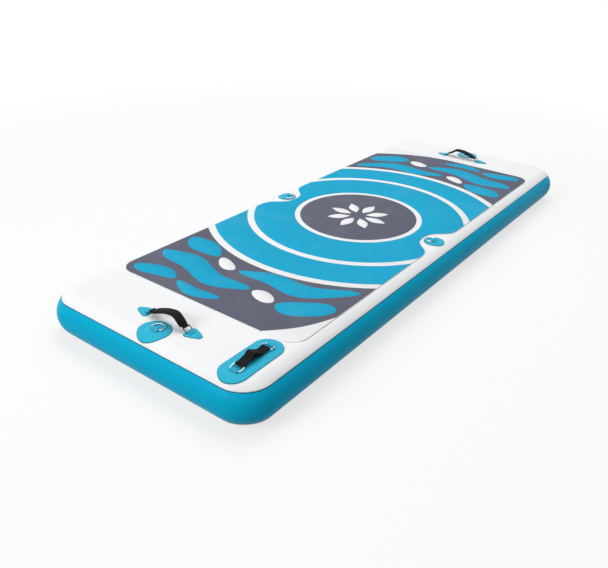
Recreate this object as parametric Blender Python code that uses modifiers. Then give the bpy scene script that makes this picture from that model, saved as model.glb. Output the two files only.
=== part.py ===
"""Floating fitness mat: an air-filled deck with a foam pad, two carry handles, four D-rings and a strap.

Metres, +Z up. The origin is at the middle of the underside, where the mat rests.
+Y runs along the mat, away from the end with the paddle strap. +X is the strap's side.
"""

import math

import bmesh
import bpy
from mathutils import Matrix

MM = 0.001

# Hull
MAT_LENGTH = 2440 * MM
MAT_WIDTH = 910 * MM
BODY_THICKNESS = 150 * MM
CORNER_RADIUS = 120 * MM
SKIN_THICKNESS = 1.2 * MM
GAP = 0.3 * MM
SEAM_ANGLE = 48.0
LAP_ANGLE = 14.0
CORNER_STEPS = 7
SHOULDER_STEPS = 5
WALL_STEPS = 8
OVERRUN = 5 * MM
MERGE_DISTANCE = 0.01 * MM

# Drop thread: one yarn that crosses the hull up and down. It stands for thousands of finer crossings.
THREAD_RADIUS = 0.8 * MM
THREAD_PITCH_X = 150 * MM
THREAD_PITCH_Y = 230 * MM

# Deck pad and the coloured sheets let into it
PAD_THICKNESS = 3.0 * MM
PAD_SIDE_MARGIN = 63 * MM
PAD_END_MARGIN = 278 * MM
PAD_CORNER_RADIUS = 60 * MM
INLAY_THICKNESS = 1.7 * MM
DISC_RING_WIDTH = 22.3 * MM
NECK_STRIP_WIDTH = 53.2 * MM
INNER_BAND_REACH_SHARE = 0.2072
MIDDLE_RING_WIDTH = 28 * MM
OUTER_BAND_WIDTH = 135.9 * MM
OUTER_RING_WIDTH = 29.8 * MM
CIRCLE_STEPS = 48
BAND_STEPS = 14
PAD_CORNER_STEPS = 5
NOTCH_DEPTH = 72 * MM
NOTCH_NECK_HALF = 18 * MM
NOTCH_MOUTH_HALF = 120 * MM
NOTCH_ROUNDING = 14 * MM
NEAR_CUT_WIDTH = 132 * MM
NEAR_CUT_LENGTH = 210 * MM
FAR_CUT_WIDTH = 330 * MM
FAR_CUT_LENGTH = 150 * MM
CUT_BULGE_SHARE = 0.07
CUT_STEPS = 8

# Patches welded to the deck
PATCH_THICKNESS = 1.5 * MM
PATCH_GAP = 0.5 * MM
PATCH_BEND_STEP = 11 * MM
PATCH_STEPS = 28

# Anchors: webbing folded round a ring's bar and welded to its patch
ANCHOR_PLY = 1.1 * MM
FOLD_STEPS = 9
BORE_SEGMENTS = 12

# Carry handles. The room is from the mat's end to the handle's line.
NEAR_HANDLE_X = 12 * MM
NEAR_HANDLE_ROOM = 140 * MM
FAR_HANDLE_X = -8 * MM
FAR_HANDLE_ROOM = 185 * MM
HANDLE_PATCH_START = 80 * MM
HANDLE_PATCH_LENGTH = 57 * MM
HANDLE_PATCH_HALF_WIDTH = 29 * MM
HANDLE_PATCH_ROUNDING = 11 * MM
HANDLE_TIP_HALF_WIDTH = 7 * MM
HANDLE_TIP_ROUNDING = 6.5 * MM
HANDLE_BAR_X = 87 * MM
HANDLE_WIRE_RADIUS = 1.5 * MM
HANDLE_RING_HALF_WIDTH = 13 * MM
HANDLE_RING_RUN = 13 * MM
HANDLE_RING_ROUNDING = 2.2 * MM
HANDLE_AXIS_HEIGHT = 16 * MM
HANDLE_ANCHOR_TAIL = 14 * MM
WEBBING_HALF_WIDTH = 11 * MM
WEBBING_THICKNESS = 2 * MM
END_LOOP_PLY = 1.4 * MM
END_LOOP_LENGTH = 6 * MM
SLEEVE_HALF_WIDTH = 14 * MM
SLEEVE_THICKNESS = 6 * MM
SLEEVE_SETBACK = 1 * MM
HANDLE_RISE = 28 * MM
HANDLE_ROUTE_SHARES = (
    (-1.00, 0.00),
    (-0.84, 0.16),
    (-0.50, 0.52),
    (-0.10, 0.84),
    (0.28, 1.00),
    (0.56, 0.92),
    (0.80, 0.42),
    (1.00, 0.00),
)

# D-rings
RING_WIRE_RADIUS = 2 * MM
RING_HALF_WIDTH = 20 * MM
RING_LEG = 10 * MM
RING_ROUNDING = 3.5 * MM
RING_ARC_STEPS = 10
RING_ANCHOR_HALF_WIDTH = 13 * MM
RING_ANCHOR_TAIL = 13 * MM
END_PATCH_RADIUS = 50 * MM
SIDE_PATCH_RADIUS = 40 * MM
NEAR_RING_OFFSET = 53 * MM
FAR_RING_OFFSET = 57 * MM
END_PATCH_OFFSET = 8 * MM
SIDE_PATCH_SETBACK = 26 * MM
SIDE_PATCH_OFFSET = 5 * MM
SIDE_RING_Y = -20 * MM

# Paddle strap
STRAP_SIDE_ROOM = 122 * MM
STRAP_END_ROOM = 34 * MM
STRAP_PAD_CLEARANCE = 8 * MM
STRAP_PATCH_HALF_WIDTH = 49 * MM
STRAP_PATCH_STEPS = 7
STRAP_PATCH_BENDS_INSIDE = 3
STRAP_WIRE_RADIUS = 1.75 * MM
STRAP_RING_HALF_WIDTH = 18.5 * MM
STRAP_RING_LENGTH = 19.5 * MM
STRAP_RING_RISE = 4 * MM
STRAP_RING_ROUNDING = 2.5 * MM
STRAP_ANCHOR_HALF_WIDTH = 13 * MM
STRAP_ANCHOR_TAIL = 9 * MM
STRAP_NEAR_BAR = -70 * MM
STRAP_FAR_BAR = 83 * MM
STRAP_HALF_WIDTH = 16 * MM
STRAP_THICKNESS = 2.2 * MM
STRAP_PLY = 1.6 * MM
STRAP_TAPER = 13 * MM
CLOSURE_PAD_THICKNESS = 1.0 * MM
CLOSURE_PAD_HALF_WIDTH = 14 * MM
CLOSURE_NEAR = -12 * MM
CLOSURE_FAR = 34 * MM
CLOSURE_LOW = 14.2 * MM
CLOSURE_RISE = 3.6 * MM
CLOSURE_STEPS = 8
CLOSURE_LEAN_SHARE = 1.2

# Inflation valve, in the far end wall. Depths are measured inwards from the mat's far end.
VALVE_SIDE_ROOM = 235 * MM
VALVE_SEGMENTS = 24
VALVE_HOLE_RADIUS = 30 * MM
BOOT_RECESS_RADIUS = 26 * MM
BOOT_SADDLE_RADIUS = 42 * MM
BOOT_WALL = 2 * MM
SEAT_DEPTH = 12 * MM
CAP_DEPTH = 1.0 * MM
CAP_WALL = 1.7 * MM
CAP_RADIUS = 24 * MM
CAP_BEVEL = 1.4 * MM
CAP_NOTCH_RADIUS = 2.5 * MM
CAP_NOTCH_DEPTH = 2.1 * MM
CAP_NOTCH_COUNT = 6
VALVE_NECK_RADIUS = 20 * MM
VALVE_FLANGE_RADIUS = 25 * MM
VALVE_FLANGE_THICKNESS = 3 * MM
VALVE_BARREL_RADIUS = 16.7 * MM
VALVE_BORE_RADIUS = 13 * MM
VALVE_BARREL_END = 40 * MM
GASKET_THICKNESS = 1.4 * MM
NUT_RADIUS = 23 * MM
NUT_THICKNESS = 6 * MM
WEB_DEPTH = 27.4 * MM
WEB_THICKNESS = 2.6 * MM
SEAT_RADIUS = 10 * MM
HUB_RADIUS = 4.4 * MM
BOSS_RADIUS = 3.5 * MM
BOSS_LENGTH = 5.4 * MM
SPOKE_WIDTH = 2 * MM
SPOKE_COUNT = 3
STEM_RADIUS = 2.4 * MM
BUTTON_RADIUS = 6 * MM
BUTTON_DEPTH = 4.2 * MM
BUTTON_THICKNESS = 2 * MM
PLUNGER_DISC_RADIUS = 12.4 * MM
PLUNGER_DISC_THICKNESS = 2 * MM
SPRING_WIRE_RADIUS = 0.5 * MM
SPRING_RADIUS = 4.25 * MM
SPRING_END = 22.5 * MM
SPRING_TURNS = 5
SPRING_POINTS = 8
PLUG_RADIUS = 11 * MM
PLUG_WALL = 2.5 * MM
PLUG_LIP_RADIUS = 12.3 * MM
PLUG_LIP_THICKNESS = 1 * MM
PLUG_END = 7.8 * MM
SEAL_RADIUS = 12 * MM
SEAL_WIRE_RADIUS = 0.7 * MM
SEAL_SIDES = 6

# Worked out from the sizes above
SHOULDER_RADIUS = BODY_THICKNESS / 2
WALL_RADIUS = SHOULDER_RADIUS - SKIN_THICKNESS - GAP
FLAT_HALF_WIDTH = MAT_WIDTH / 2 - WALL_RADIUS
FLAT_HALF_LENGTH = MAT_LENGTH / 2 - WALL_RADIUS
FLAT_CORNER_RADIUS = CORNER_RADIUS - WALL_RADIUS
WALL_HALF_ANGLE = SEAM_ANGLE + LAP_ANGLE
WALL_FACET_SHARE = math.cos(math.radians(WALL_HALF_ANGLE / WALL_STEPS))
PAD_HALF_WIDTH = MAT_WIDTH / 2 - PAD_SIDE_MARGIN
PAD_HALF_LENGTH = MAT_LENGTH / 2 - PAD_END_MARGIN
NOTCH_NECK_X = PAD_HALF_WIDTH - NOTCH_DEPTH
INNER_BAND_INSIDE = NOTCH_NECK_X - NECK_STRIP_WIDTH
DISC_RADIUS = INNER_BAND_INSIDE - DISC_RING_WIDTH
INNER_BAND_OUTSIDE = math.hypot(PAD_HALF_WIDTH, INNER_BAND_REACH_SHARE * PAD_HALF_LENGTH)
OUTER_BAND_INSIDE = INNER_BAND_OUTSIDE + MIDDLE_RING_WIDTH
OUTER_BAND_OUTSIDE = OUTER_BAND_INSIDE + OUTER_BAND_WIDTH
PANEL_INSIDE = OUTER_BAND_OUTSIDE + OUTER_RING_WIDTH
PAD_LOW = BODY_THICKNESS + GAP
PAD_TOP = PAD_LOW + PAD_THICKNESS
POCKET_FLOOR = PAD_TOP - INLAY_THICKNESS - GAP
PATCH_TOP = PATCH_GAP + PATCH_THICKNESS
NEAR_HANDLE_Y = NEAR_HANDLE_ROOM - MAT_LENGTH / 2
FAR_HANDLE_Y = MAT_LENGTH / 2 - FAR_HANDLE_ROOM
NEAR_RING_Y = NEAR_HANDLE_Y - NEAR_RING_OFFSET
NEAR_PATCH_Y = NEAR_RING_Y - END_PATCH_OFFSET
FAR_RING_Y = FAR_HANDLE_Y + FAR_RING_OFFSET
FAR_PATCH_Y = FAR_RING_Y + END_PATCH_OFFSET
SIDE_PATCH_X = PAD_HALF_WIDTH - SIDE_PATCH_SETBACK
SIDE_RING_X = SIDE_PATCH_X - SIDE_PATCH_OFFSET
STRAP_PATCH_X = MAT_WIDTH / 2 - STRAP_SIDE_ROOM
STRAP_PATCH_HALF_LENGTH = (PAD_END_MARGIN - STRAP_PAD_CLEARANCE - STRAP_END_ROOM) / 2
STRAP_PATCH_Y = STRAP_END_ROOM + STRAP_PATCH_HALF_LENGTH - MAT_LENGTH / 2
VALVE_X = VALVE_SIDE_ROOM - MAT_WIDTH / 2
HANDLE_AXIS_X = HANDLE_BAR_X - HANDLE_RING_RUN
HANDLE_FLEX_X = HANDLE_AXIS_X - END_LOOP_LENGTH
GASKET_DEPTH = SEAT_DEPTH - GAP - GASKET_THICKNESS
FLANGE_BACK = GASKET_DEPTH - GAP
FLANGE_FRONT = FLANGE_BACK - VALVE_FLANGE_THICKNESS
CAP_INNER_FACE = CAP_DEPTH + CAP_WALL
WEB_BACK = WEB_DEPTH + WEB_THICKNESS

FINISHES = {
    "white_skin": ((0.90, 0.92, 0.93), 0.45, 0.0),
    "teal_skin": ((0.03, 0.37, 0.53), 0.40, 0.0),
    "white_foam": ((0.88, 0.90, 0.92), 0.85, 0.0),
    "teal_foam": ((0.02, 0.42, 0.64), 0.85, 0.0),
    "grey_foam": ((0.13, 0.14, 0.18), 0.88, 0.0),
    "patch_teal": ((0.06, 0.42, 0.55), 0.42, 0.0),
    "anchor_teal": ((0.05, 0.36, 0.48), 0.50, 0.0),
    "black_webbing": ((0.012, 0.012, 0.015), 0.75, 0.0),
    "black_wire": ((0.015, 0.015, 0.017), 0.35, 0.0),
    "steel": ((0.72, 0.74, 0.76), 0.18, 1.0),
    "yarn": ((0.80, 0.80, 0.76), 0.80, 0.0),
    "valve_plastic": ((0.35, 0.37, 0.40), 0.45, 0.0),
    "rubber": ((0.02, 0.02, 0.02), 0.80, 0.0),
}


def clear_scene():
    for item in list(bpy.data.objects):
        bpy.data.objects.remove(item)


def new_collection(name):
    collection = bpy.data.collections.new(name)
    bpy.context.scene.collection.children.link(collection)
    return collection


clear_scene()
PARTS = new_collection("floating_fitness_mat")
CUTTERS = new_collection("cutters")
CUTTERS.hide_render = True


def paint(item, finish):
    """Gives an object a material of its own."""
    colour, roughness, metallic = FINISHES[finish]
    material = bpy.data.materials.new(f"{item.name}_{finish}")
    material.use_nodes = True
    material.diffuse_color = (*colour, 1.0)
    shader = material.node_tree.nodes["Principled BSDF"]
    shader.inputs["Base Color"].default_value = (*colour, 1.0)
    shader.inputs["Roughness"].default_value = roughness
    shader.inputs["Metallic"].default_value = metallic
    item.data.materials.append(material)


def add_object(name, data, finish, collection=PARTS):
    item = bpy.data.objects.new(name, data)
    collection.objects.link(item)
    if finish:
        paint(item, finish)
    if collection is CUTTERS:
        item.hide_render = True
        item.display_type = "WIRE"
    return item


def new_empty(name, place, turn=(0.0, 0.0, 0.0), parent=None):
    empty = bpy.data.objects.new(name, None)
    empty.location = place
    empty.rotation_euler = turn
    empty.parent = parent
    PARTS.objects.link(empty)
    return empty


def hang_on(parent, *items):
    """Parents objects whose places so far were measured from the parent's origin."""
    for item in items:
        item.parent = parent


def new_curve(name, line, cyclic, dimensions):
    return new_curves(name, [line], cyclic, dimensions)


def new_curves(name, lines, cyclic, dimensions):
    curve = bpy.data.curves.new(name, "CURVE")
    curve.dimensions = dimensions
    for line in lines:
        spline = curve.splines.new("POLY")
        spline.points.add(len(line) - 1)
        for point, place in zip(spline.points, line):
            point.co = (*place, 1.0) if len(place) == 3 else (*place, 0.0, 1.0)
        spline.use_cyclic_u = cyclic
    return curve


def plate(name, outlines, low, high, finish, collection=PARTS):
    """A flat piece between two heights. The first outline is its edge, the others are holes."""
    curve = new_curves(name, outlines, True, "2D")
    curve.fill_mode = "BOTH"
    curve.extrude = (high - low) / 2
    item = add_object(name, curve, finish, collection)
    item.location.z = (low + high) / 2
    return item


def strip(name, outline, half_width, along, finish, collection=PARTS):
    """A side outline of (distance along an axis, height) points, drawn out across the piece."""
    curve = new_curve(name, outline, True, "2D")
    curve.fill_mode = "BOTH"
    curve.extrude = half_width
    item = add_object(name, curve, finish, collection)
    item.rotation_euler = (math.pi / 2, 0.0, math.pi / 2 if along == "Y" else 0.0)
    return item


def as_mesh(item):
    """Swaps a curve object for a closed mesh object of the same name and place."""
    bpy.context.view_layer.update()
    graph = bpy.context.evaluated_depsgraph_get()
    mesh = bpy.data.meshes.new_from_object(item.evaluated_get(graph))
    shape = bmesh.new()
    shape.from_mesh(mesh)
    bmesh.ops.remove_doubles(shape, verts=shape.verts, dist=MERGE_DISTANCE)
    shape.to_mesh(mesh)
    shape.free()
    name = item.name
    place = item.matrix_world.copy()
    collection = item.users_collection[0]
    bpy.data.objects.remove(item)
    swapped = add_object(name, mesh, None, collection)
    swapped.matrix_world = place
    return swapped


def wire(name, points, radius, finish, cyclic=True, resolution=1):
    curve = new_curve(name, points, cyclic, "3D")
    curve.bevel_depth = radius
    curve.bevel_resolution = resolution
    curve.use_fill_caps = not cyclic
    return add_object(name, curve, finish)


def cylinder(name, radius, low, high, segments, finish=None, collection=CUTTERS):
    """A cylinder on its own Z axis, between two heights."""
    mesh = bpy.data.meshes.new(name)
    shape = bmesh.new()
    bmesh.ops.create_cone(
        shape,
        cap_ends=True,
        segments=segments,
        radius1=radius,
        radius2=radius,
        depth=high - low,
        matrix=Matrix.Translation((0.0, 0.0, (low + high) / 2)),
    )
    shape.to_mesh(mesh)
    shape.free()
    return add_object(name, mesh, finish, collection)


def cross_bore(item, bar_radius, half_width, axis, place=(0.0, 0.0, 0.0)):
    """Cuts a bore across a piece for a ring's bar, with the gap all round the bar."""
    hole = cylinder(
        f"{item.name}_bore", bar_radius + GAP, -half_width - OVERRUN, half_width + OVERRUN, BORE_SEGMENTS
    )
    hole.location = place
    hole.rotation_euler = (0.0, math.pi / 2, 0.0) if axis == "X" else (math.pi / 2, 0.0, 0.0)
    boolean(item, hole)
    return hole


def turned(name, profile, finish, ring=True, collection=PARTS, segments=VALVE_SEGMENTS):
    """A piece turned about its own Z axis.

    The profile of (radius, depth) points runs down the outside. A ring's profile closes on itself.
    """
    mesh = bpy.data.meshes.new(name)
    shape = bmesh.new()
    corners = [shape.verts.new((radius, 0.0, -depth)) for radius, depth in profile]
    for first, second in zip(corners, corners[1:]):
        shape.edges.new((first, second))
    if ring:
        shape.edges.new((corners[-1], corners[0]))
    shape.to_mesh(mesh)
    shape.free()
    item = add_object(name, mesh, finish, collection)
    screw = item.modifiers.new("turn", "SCREW")
    screw.steps = segments
    screw.render_steps = segments
    screw.use_merge_vertices = True
    screw.merge_threshold = MERGE_DISTANCE
    return item


def boolean(item, other, operation="DIFFERENCE"):
    modifier = item.modifiers.new(f"{operation.lower()}_{other.name}", "BOOLEAN")
    modifier.operation = operation
    modifier.object = other
    modifier.solver = "EXACT"


def arc(centre, radius, start, end, steps):
    """Points on an arc, from one angle to another in degrees."""
    points = []
    for step in range(steps + 1):
        angle = math.radians(start + (end - start) * step / steps)
        points.append((centre[0] + radius * math.cos(angle), centre[1] + radius * math.sin(angle)))
    return points


def circle(radius, steps, centre=(0.0, 0.0)):
    return arc(centre, radius, 0.0, 360.0, steps)[:-1]


def unit(x, y):
    length = math.hypot(x, y)
    return (x / length, y / length)


def rounded(corners, radii, steps):
    """An outline with each corner replaced by an arc. A radius of zero keeps the corner."""
    points = []
    for index, (corner, radius) in enumerate(zip(corners, radii)):
        if not radius:
            points.append(corner)
            continue
        before = corners[index - 1]
        after = corners[(index + 1) % len(corners)]
        back = unit(before[0] - corner[0], before[1] - corner[1])
        ahead = unit(after[0] - corner[0], after[1] - corner[1])
        bisector = unit(back[0] + ahead[0], back[1] + ahead[1])
        half = math.acos(back[0] * ahead[0] + back[1] * ahead[1]) / 2
        reach = radius / math.sin(half)
        touch = radius / math.tan(half)
        centre = (corner[0] + bisector[0] * reach, corner[1] + bisector[1] * reach)
        first = (corner[0] + back[0] * touch - centre[0], corner[1] + back[1] * touch - centre[1])
        last = (corner[0] + ahead[0] * touch - centre[0], corner[1] + ahead[1] * touch - centre[1])
        start = math.degrees(math.atan2(first[1], first[0]))
        end = math.degrees(math.atan2(last[1], last[0]))
        sweep = (end - start + 180.0) % 360.0 - 180.0
        points += arc(centre, radius, start, start + sweep, steps)
    return points


def rounded_rectangle(half_width, half_length, radius, steps):
    corners = [
        (half_width, -half_length),
        (half_width, half_length),
        (-half_width, half_length),
        (-half_width, -half_length),
    ]
    return rounded(corners, [radius] * len(corners), steps)


def grown(outline, distance):
    """A counter-clockwise outline with every edge moved outwards."""
    points = []
    for index, (x, y) in enumerate(outline):
        x0, y0 = outline[index - 1]
        x1, y1 = outline[(index + 1) % len(outline)]
        before = unit(y - y0, x0 - x)
        after = unit(y1 - y, x - x1)
        scale = distance / (1.0 + before[0] * after[0] + before[1] * after[1])
        points.append((x + (before[0] + after[0]) * scale, y + (before[1] + after[1]) * scale))
    return points


def turned_half_way(outline):
    return [(-x, -y) for x, y in outline]


def mirrored(outline):
    return [(-x, y) for x, y in reversed(outline)]


def smooth_route(points, steps):
    """A Catmull-Rom curve through the points."""
    route = [points[0]]
    padded = [points[0], *points, points[-1]]
    for index in range(1, len(padded) - 2):
        nearby = padded[index - 1 : index + 3]
        for step in range(1, steps + 1):
            t = step / steps
            weights = (
                (-t + 2 * t**2 - t**3) / 2,
                (2 - 5 * t**2 + 3 * t**3) / 2,
                (t + 4 * t**2 - 3 * t**3) / 2,
                (t**3 - t**2) / 2,
            )
            x = sum(weight * point[0] for weight, point in zip(weights, nearby))
            y = sum(weight * point[1] for weight, point in zip(weights, nearby))
            route.append((x, y))
    return route


def route_normals(route, upright_ends=False):
    """The left-hand normal at each point. Upright ends keep the band's full thickness there."""
    normals = []
    for index in range(len(route)):
        before = route[max(index - 1, 0)]
        after = route[min(index + 1, len(route) - 1)]
        along = unit(after[0] - before[0], after[1] - before[1])
        if upright_ends and index in (0, len(route) - 1):
            normals.append((0.0, 1.0 / along[0]))
        else:
            normals.append((-along[1], along[0]))
    return normals


def moved_off(route, normals, distances):
    return [
        (x + nx * distance, y + ny * distance)
        for (x, y), (nx, ny), distance in zip(route, normals, distances)
    ]


def band(route, low, high, upright_ends=False):
    """The closed side outline of a strip that follows a route, between two offsets from it."""
    normals = route_normals(route, upright_ends)
    lower = moved_off(route, normals, [low] * len(route))
    upper = moved_off(route, normals, [high] * len(route))
    return lower + upper[::-1]


def deck_drop(x, y):
    """How far the top skin lies below the flat of the deck at a place near its rounded edge."""
    across = abs(x) - (FLAT_HALF_WIDTH - FLAT_CORNER_RADIUS)
    along = abs(y) - (FLAT_HALF_LENGTH - FLAT_CORNER_RADIUS)
    beyond = math.hypot(max(across, 0.0), max(along, 0.0))
    distance = beyond + min(max(across, along), 0.0) - FLAT_CORNER_RADIUS
    if distance <= 0.0:
        return 0.0
    return SHOULDER_RADIUS - math.sqrt(SHOULDER_RADIUS**2 - distance**2)


def edge_ring(name, profile):
    """A profile of (outward, height) points swept round the edge of the deck's flat."""
    outline = rounded_rectangle(FLAT_HALF_WIDTH, FLAT_HALF_LENGTH, FLAT_CORNER_RADIUS, CORNER_STEPS)
    path = new_curve(name, [(x, y, 0.0) for x, y in outline], True, "3D")
    guide = add_object(f"{name}_profile", new_curve(f"{name}_profile", profile, False, "2D"), None, CUTTERS)
    path.bevel_mode = "OBJECT"
    path.bevel_object = guide
    return as_mesh(add_object(name, path, None))


def edge_profile(radius, start, end, steps, sign):
    """Points on the hull's round edge, between two angles from its middle height."""
    points = arc((0.0, 0.0), radius, start, end, steps)
    return [(x, BODY_THICKNESS / 2 + sign * y) for x, y in points]


def finish_shell(item, finish, outward):
    """Turns an open surface's faces outwards and gives it a wall on its inner side.

    outward says whether the largest face already points out.
    """
    shape = bmesh.new()
    shape.from_mesh(item.data)
    bmesh.ops.recalc_face_normals(shape, faces=shape.faces)
    if not outward(max(shape.faces, key=lambda face: face.calc_area())):
        bmesh.ops.reverse_faces(shape, faces=shape.faces)
    shape.to_mesh(item.data)
    shape.free()
    paint(item, finish)
    wall = item.modifiers.new("wall", "SOLIDIFY")
    wall.thickness = SKIN_THICKNESS
    wall.offset = -1.0
    wall.use_even_offset = True
    item.data.shade_smooth()
    item.data.set_sharp_from_angle(angle=math.radians(30))


def make_face_skin(name, sign):
    """The top or bottom skin: a flat face that wraps round the shoulder to the seam."""
    item = edge_ring(name, edge_profile(SHOULDER_RADIUS, 90.0, SEAM_ANGLE, SHOULDER_STEPS, sign))
    face_height = BODY_THICKNESS / 2 + sign * SHOULDER_RADIUS
    shape = bmesh.new()
    shape.from_mesh(item.data)
    rim = [
        edge
        for edge in shape.edges
        if edge.is_boundary and all(abs(vert.co.z - face_height) < MERGE_DISTANCE for vert in edge.verts)
    ]
    bmesh.ops.contextual_create(shape, geom=rim)
    shape.to_mesh(item.data)
    shape.free()
    finish_shell(item, "white_skin", lambda face: face.normal.z * sign > 0)


def make_side_wall():
    """The strip round the edge, lapped under both skins, with the valve's hole in its far end."""
    item = edge_ring("side_wall", edge_profile(WALL_RADIUS, WALL_HALF_ANGLE, -WALL_HALF_ANGLE, WALL_STEPS, 1))

    def points_out(face):
        centre = face.calc_center_median()
        return face.normal.x * centre.x + face.normal.y * centre.y > 0

    finish_shell(item, "teal_skin", points_out)
    hole = cylinder("valve_hole", VALVE_HOLE_RADIUS, -SHOULDER_RADIUS, OVERRUN, VALVE_SEGMENTS)
    hole.parent = VALVE_PLACE
    boolean(item, hole)


def make_drop_thread():
    """The yarn that holds the skins parallel, as one run that goes up and down across each row."""
    levels = [SKIN_THICKNESS + GAP + THREAD_RADIUS, BODY_THICKNESS - SKIN_THICKNESS - GAP - THREAD_RADIUS]
    columns = int(FLAT_HALF_WIDTH / THREAD_PITCH_X)
    rows = int(FLAT_HALF_LENGTH / THREAD_PITCH_Y)
    points = []
    for row in range(-rows, rows + 1):
        direction = 1 if row % 2 else -1
        for column in range(-columns, columns + 1):
            for level in levels:
                points.append((direction * column * THREAD_PITCH_X, row * THREAD_PITCH_Y, level))
            levels.reverse()
    wire("drop_thread", points, THREAD_RADIUS, "yarn", False, 0)


def notch_points():
    """The right-hand notch that clears a side patch, from its near mouth to its far mouth."""
    corners = [
        (PAD_HALF_WIDTH, SIDE_RING_Y - NOTCH_MOUTH_HALF),
        (NOTCH_NECK_X, SIDE_RING_Y - NOTCH_NECK_HALF),
        (NOTCH_NECK_X, SIDE_RING_Y + NOTCH_NECK_HALF),
        (PAD_HALF_WIDTH, SIDE_RING_Y + NOTCH_MOUTH_HALF),
    ]
    return rounded(corners, [0.0, NOTCH_ROUNDING, NOTCH_ROUNDING, 0.0], 3)


def pad_corner(start, end):
    """The pad's rounded far right corner."""
    centre = (PAD_HALF_WIDTH - PAD_CORNER_RADIUS, PAD_HALF_LENGTH - PAD_CORNER_RADIUS)
    return arc(centre, PAD_CORNER_RADIUS, start, end, PAD_CORNER_STEPS)


def pad_outline():
    near_corner = [(x, -y) for x, y in pad_corner(90.0, 0.0)]
    right = near_corner + notch_points() + pad_corner(0.0, 90.0)
    return right + mirrored(right)


def ring_arc(radius):
    """The far arc of a ring between the pad's sides, from right to left."""
    start = math.degrees(math.acos(PAD_HALF_WIDTH / radius))
    return arc((0.0, 0.0), radius, start, 180.0 - start, BAND_STEPS)


def inner_band_outline():
    far = ring_arc(INNER_BAND_OUTSIDE)
    return far + mirrored(notch_points()) + turned_half_way(far) + notch_points()


def outer_band_outline():
    return ring_arc(OUTER_BAND_OUTSIDE) + ring_arc(OUTER_BAND_INSIDE)[::-1]


def end_panel_outline(cut_width, cut_length):
    """The far end panel: the ring's arc, the pad's corner, and a bowed cut across the other corner."""
    start = (cut_width - PAD_HALF_WIDTH, PAD_HALF_LENGTH)
    end = (-PAD_HALF_WIDTH, PAD_HALF_LENGTH - cut_length)
    cut = []
    for step in range(CUT_STEPS + 1):
        share = step / CUT_STEPS
        bulge = CUT_BULGE_SHARE * math.sin(math.pi * share)
        x = start[0] + (end[0] - start[0]) * share - bulge * cut_length
        y = start[1] + (end[1] - start[1]) * share + bulge * cut_width
        cut.append((x, y))
    return ring_arc(PANEL_INSIDE)[::-1] + pad_corner(0.0, 90.0) + cut


def make_deck_pad():
    """The foam sheet and the sheets let into it. Each pocket is its inlay's outline, grown by the gap."""
    pad = as_mesh(plate("deck_pad", [pad_outline()], PAD_LOW, PAD_TOP, "white_foam"))
    near_panel = turned_half_way(end_panel_outline(NEAR_CUT_WIDTH, NEAR_CUT_LENGTH))
    inlays = {
        "centre_disc": ([circle(DISC_RADIUS, CIRCLE_STEPS)], "grey_foam"),
        "inner_band": ([inner_band_outline(), circle(INNER_BAND_INSIDE, CIRCLE_STEPS)], "teal_foam"),
        "outer_band_near": ([turned_half_way(outer_band_outline())], "teal_foam"),
        "outer_band_far": ([outer_band_outline()], "teal_foam"),
        "end_panel_near": ([near_panel], "grey_foam"),
        "end_panel_far": ([end_panel_outline(FAR_CUT_WIDTH, FAR_CUT_LENGTH)], "grey_foam"),
    }
    for name, (outlines, finish) in inlays.items():
        plate(name, outlines, POCKET_FLOOR + GAP, PAD_TOP, finish)
        edge, *holes = outlines
        pocket_outlines = [grown(edge, GAP)] + [grown(hole, -GAP) for hole in holes]
        pocket = plate(f"{name}_pocket", pocket_outlines, POCKET_FLOOR, PAD_TOP + OVERRUN, None, CUTTERS)
        boolean(pad, as_mesh(pocket))


def make_deck_patch(name, outline, bends_inside=0):
    """A welded patch that bends down with the deck's rounded edge. The outline is in the mat's frame.

    bends_inside adds lines to bend along on the flat side of each edge, for a patch at a corner.
    """
    mesh = bpy.data.meshes.new(name)
    shape = bmesh.new()
    shape.faces.new([shape.verts.new((x, y, 0.0)) for x, y in outline])
    for axis, flat_half in enumerate((FLAT_HALF_WIDTH, FLAT_HALF_LENGTH)):
        farthest = max(outline, key=lambda point: abs(point[axis]))[axis]
        line = flat_half - bends_inside * PATCH_BEND_STEP
        while line < abs(farthest):
            place = [0.0, 0.0, 0.0]
            place[axis] = math.copysign(line, farthest)
            normal = [0.0, 0.0, 0.0]
            normal[axis] = 1.0
            geometry = [*shape.verts, *shape.edges, *shape.faces]
            bmesh.ops.bisect_plane(shape, geom=geometry, plane_co=place, plane_no=normal)
            line += PATCH_BEND_STEP
    raised = bmesh.ops.extrude_face_region(shape, geom=list(shape.faces))
    top = [element for element in raised["geom"] if isinstance(element, bmesh.types.BMVert)]
    bmesh.ops.translate(shape, verts=top, vec=(0.0, 0.0, PATCH_THICKNESS))
    for vert in shape.verts:
        vert.co.z += BODY_THICKNESS + PATCH_GAP - deck_drop(vert.co.x, vert.co.y)
    bmesh.ops.recalc_face_normals(shape, faces=shape.faces)
    shape.to_mesh(mesh)
    shape.free()
    add_object(name, mesh, "patch_teal")


def bar_height(wire_radius):
    """The height above the deck of a ring's bar, held in an anchor that lies on a patch."""
    return PATCH_TOP + GAP + ANCHOR_PLY + GAP + wire_radius


def anchor_outline(wire_radius, tail):
    """Webbing folded round a bar at the origin, with its tail at positive distances."""
    wrap = wire_radius + GAP + ANCHOR_PLY
    fold = arc((0.0, 0.0), wrap, 45.0, 270.0, FOLD_STEPS)
    return fold + [(tail, -wrap), (tail, ANCHOR_PLY - wrap)]


def bar_loop(half_width, length, rounding, rise):
    """A rectangular wire loop from its bar at y = 0 towards +y, climbing to its outer bar."""
    corners = [(half_width, 0.0), (half_width, length), (-half_width, length), (-half_width, 0.0)]
    outline = rounded(corners, [rounding] * len(corners), 2)
    run_share = math.sqrt(length**2 - rise**2) / length
    return [(x, y * run_share, y * rise / length) for x, y in outline]


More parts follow.
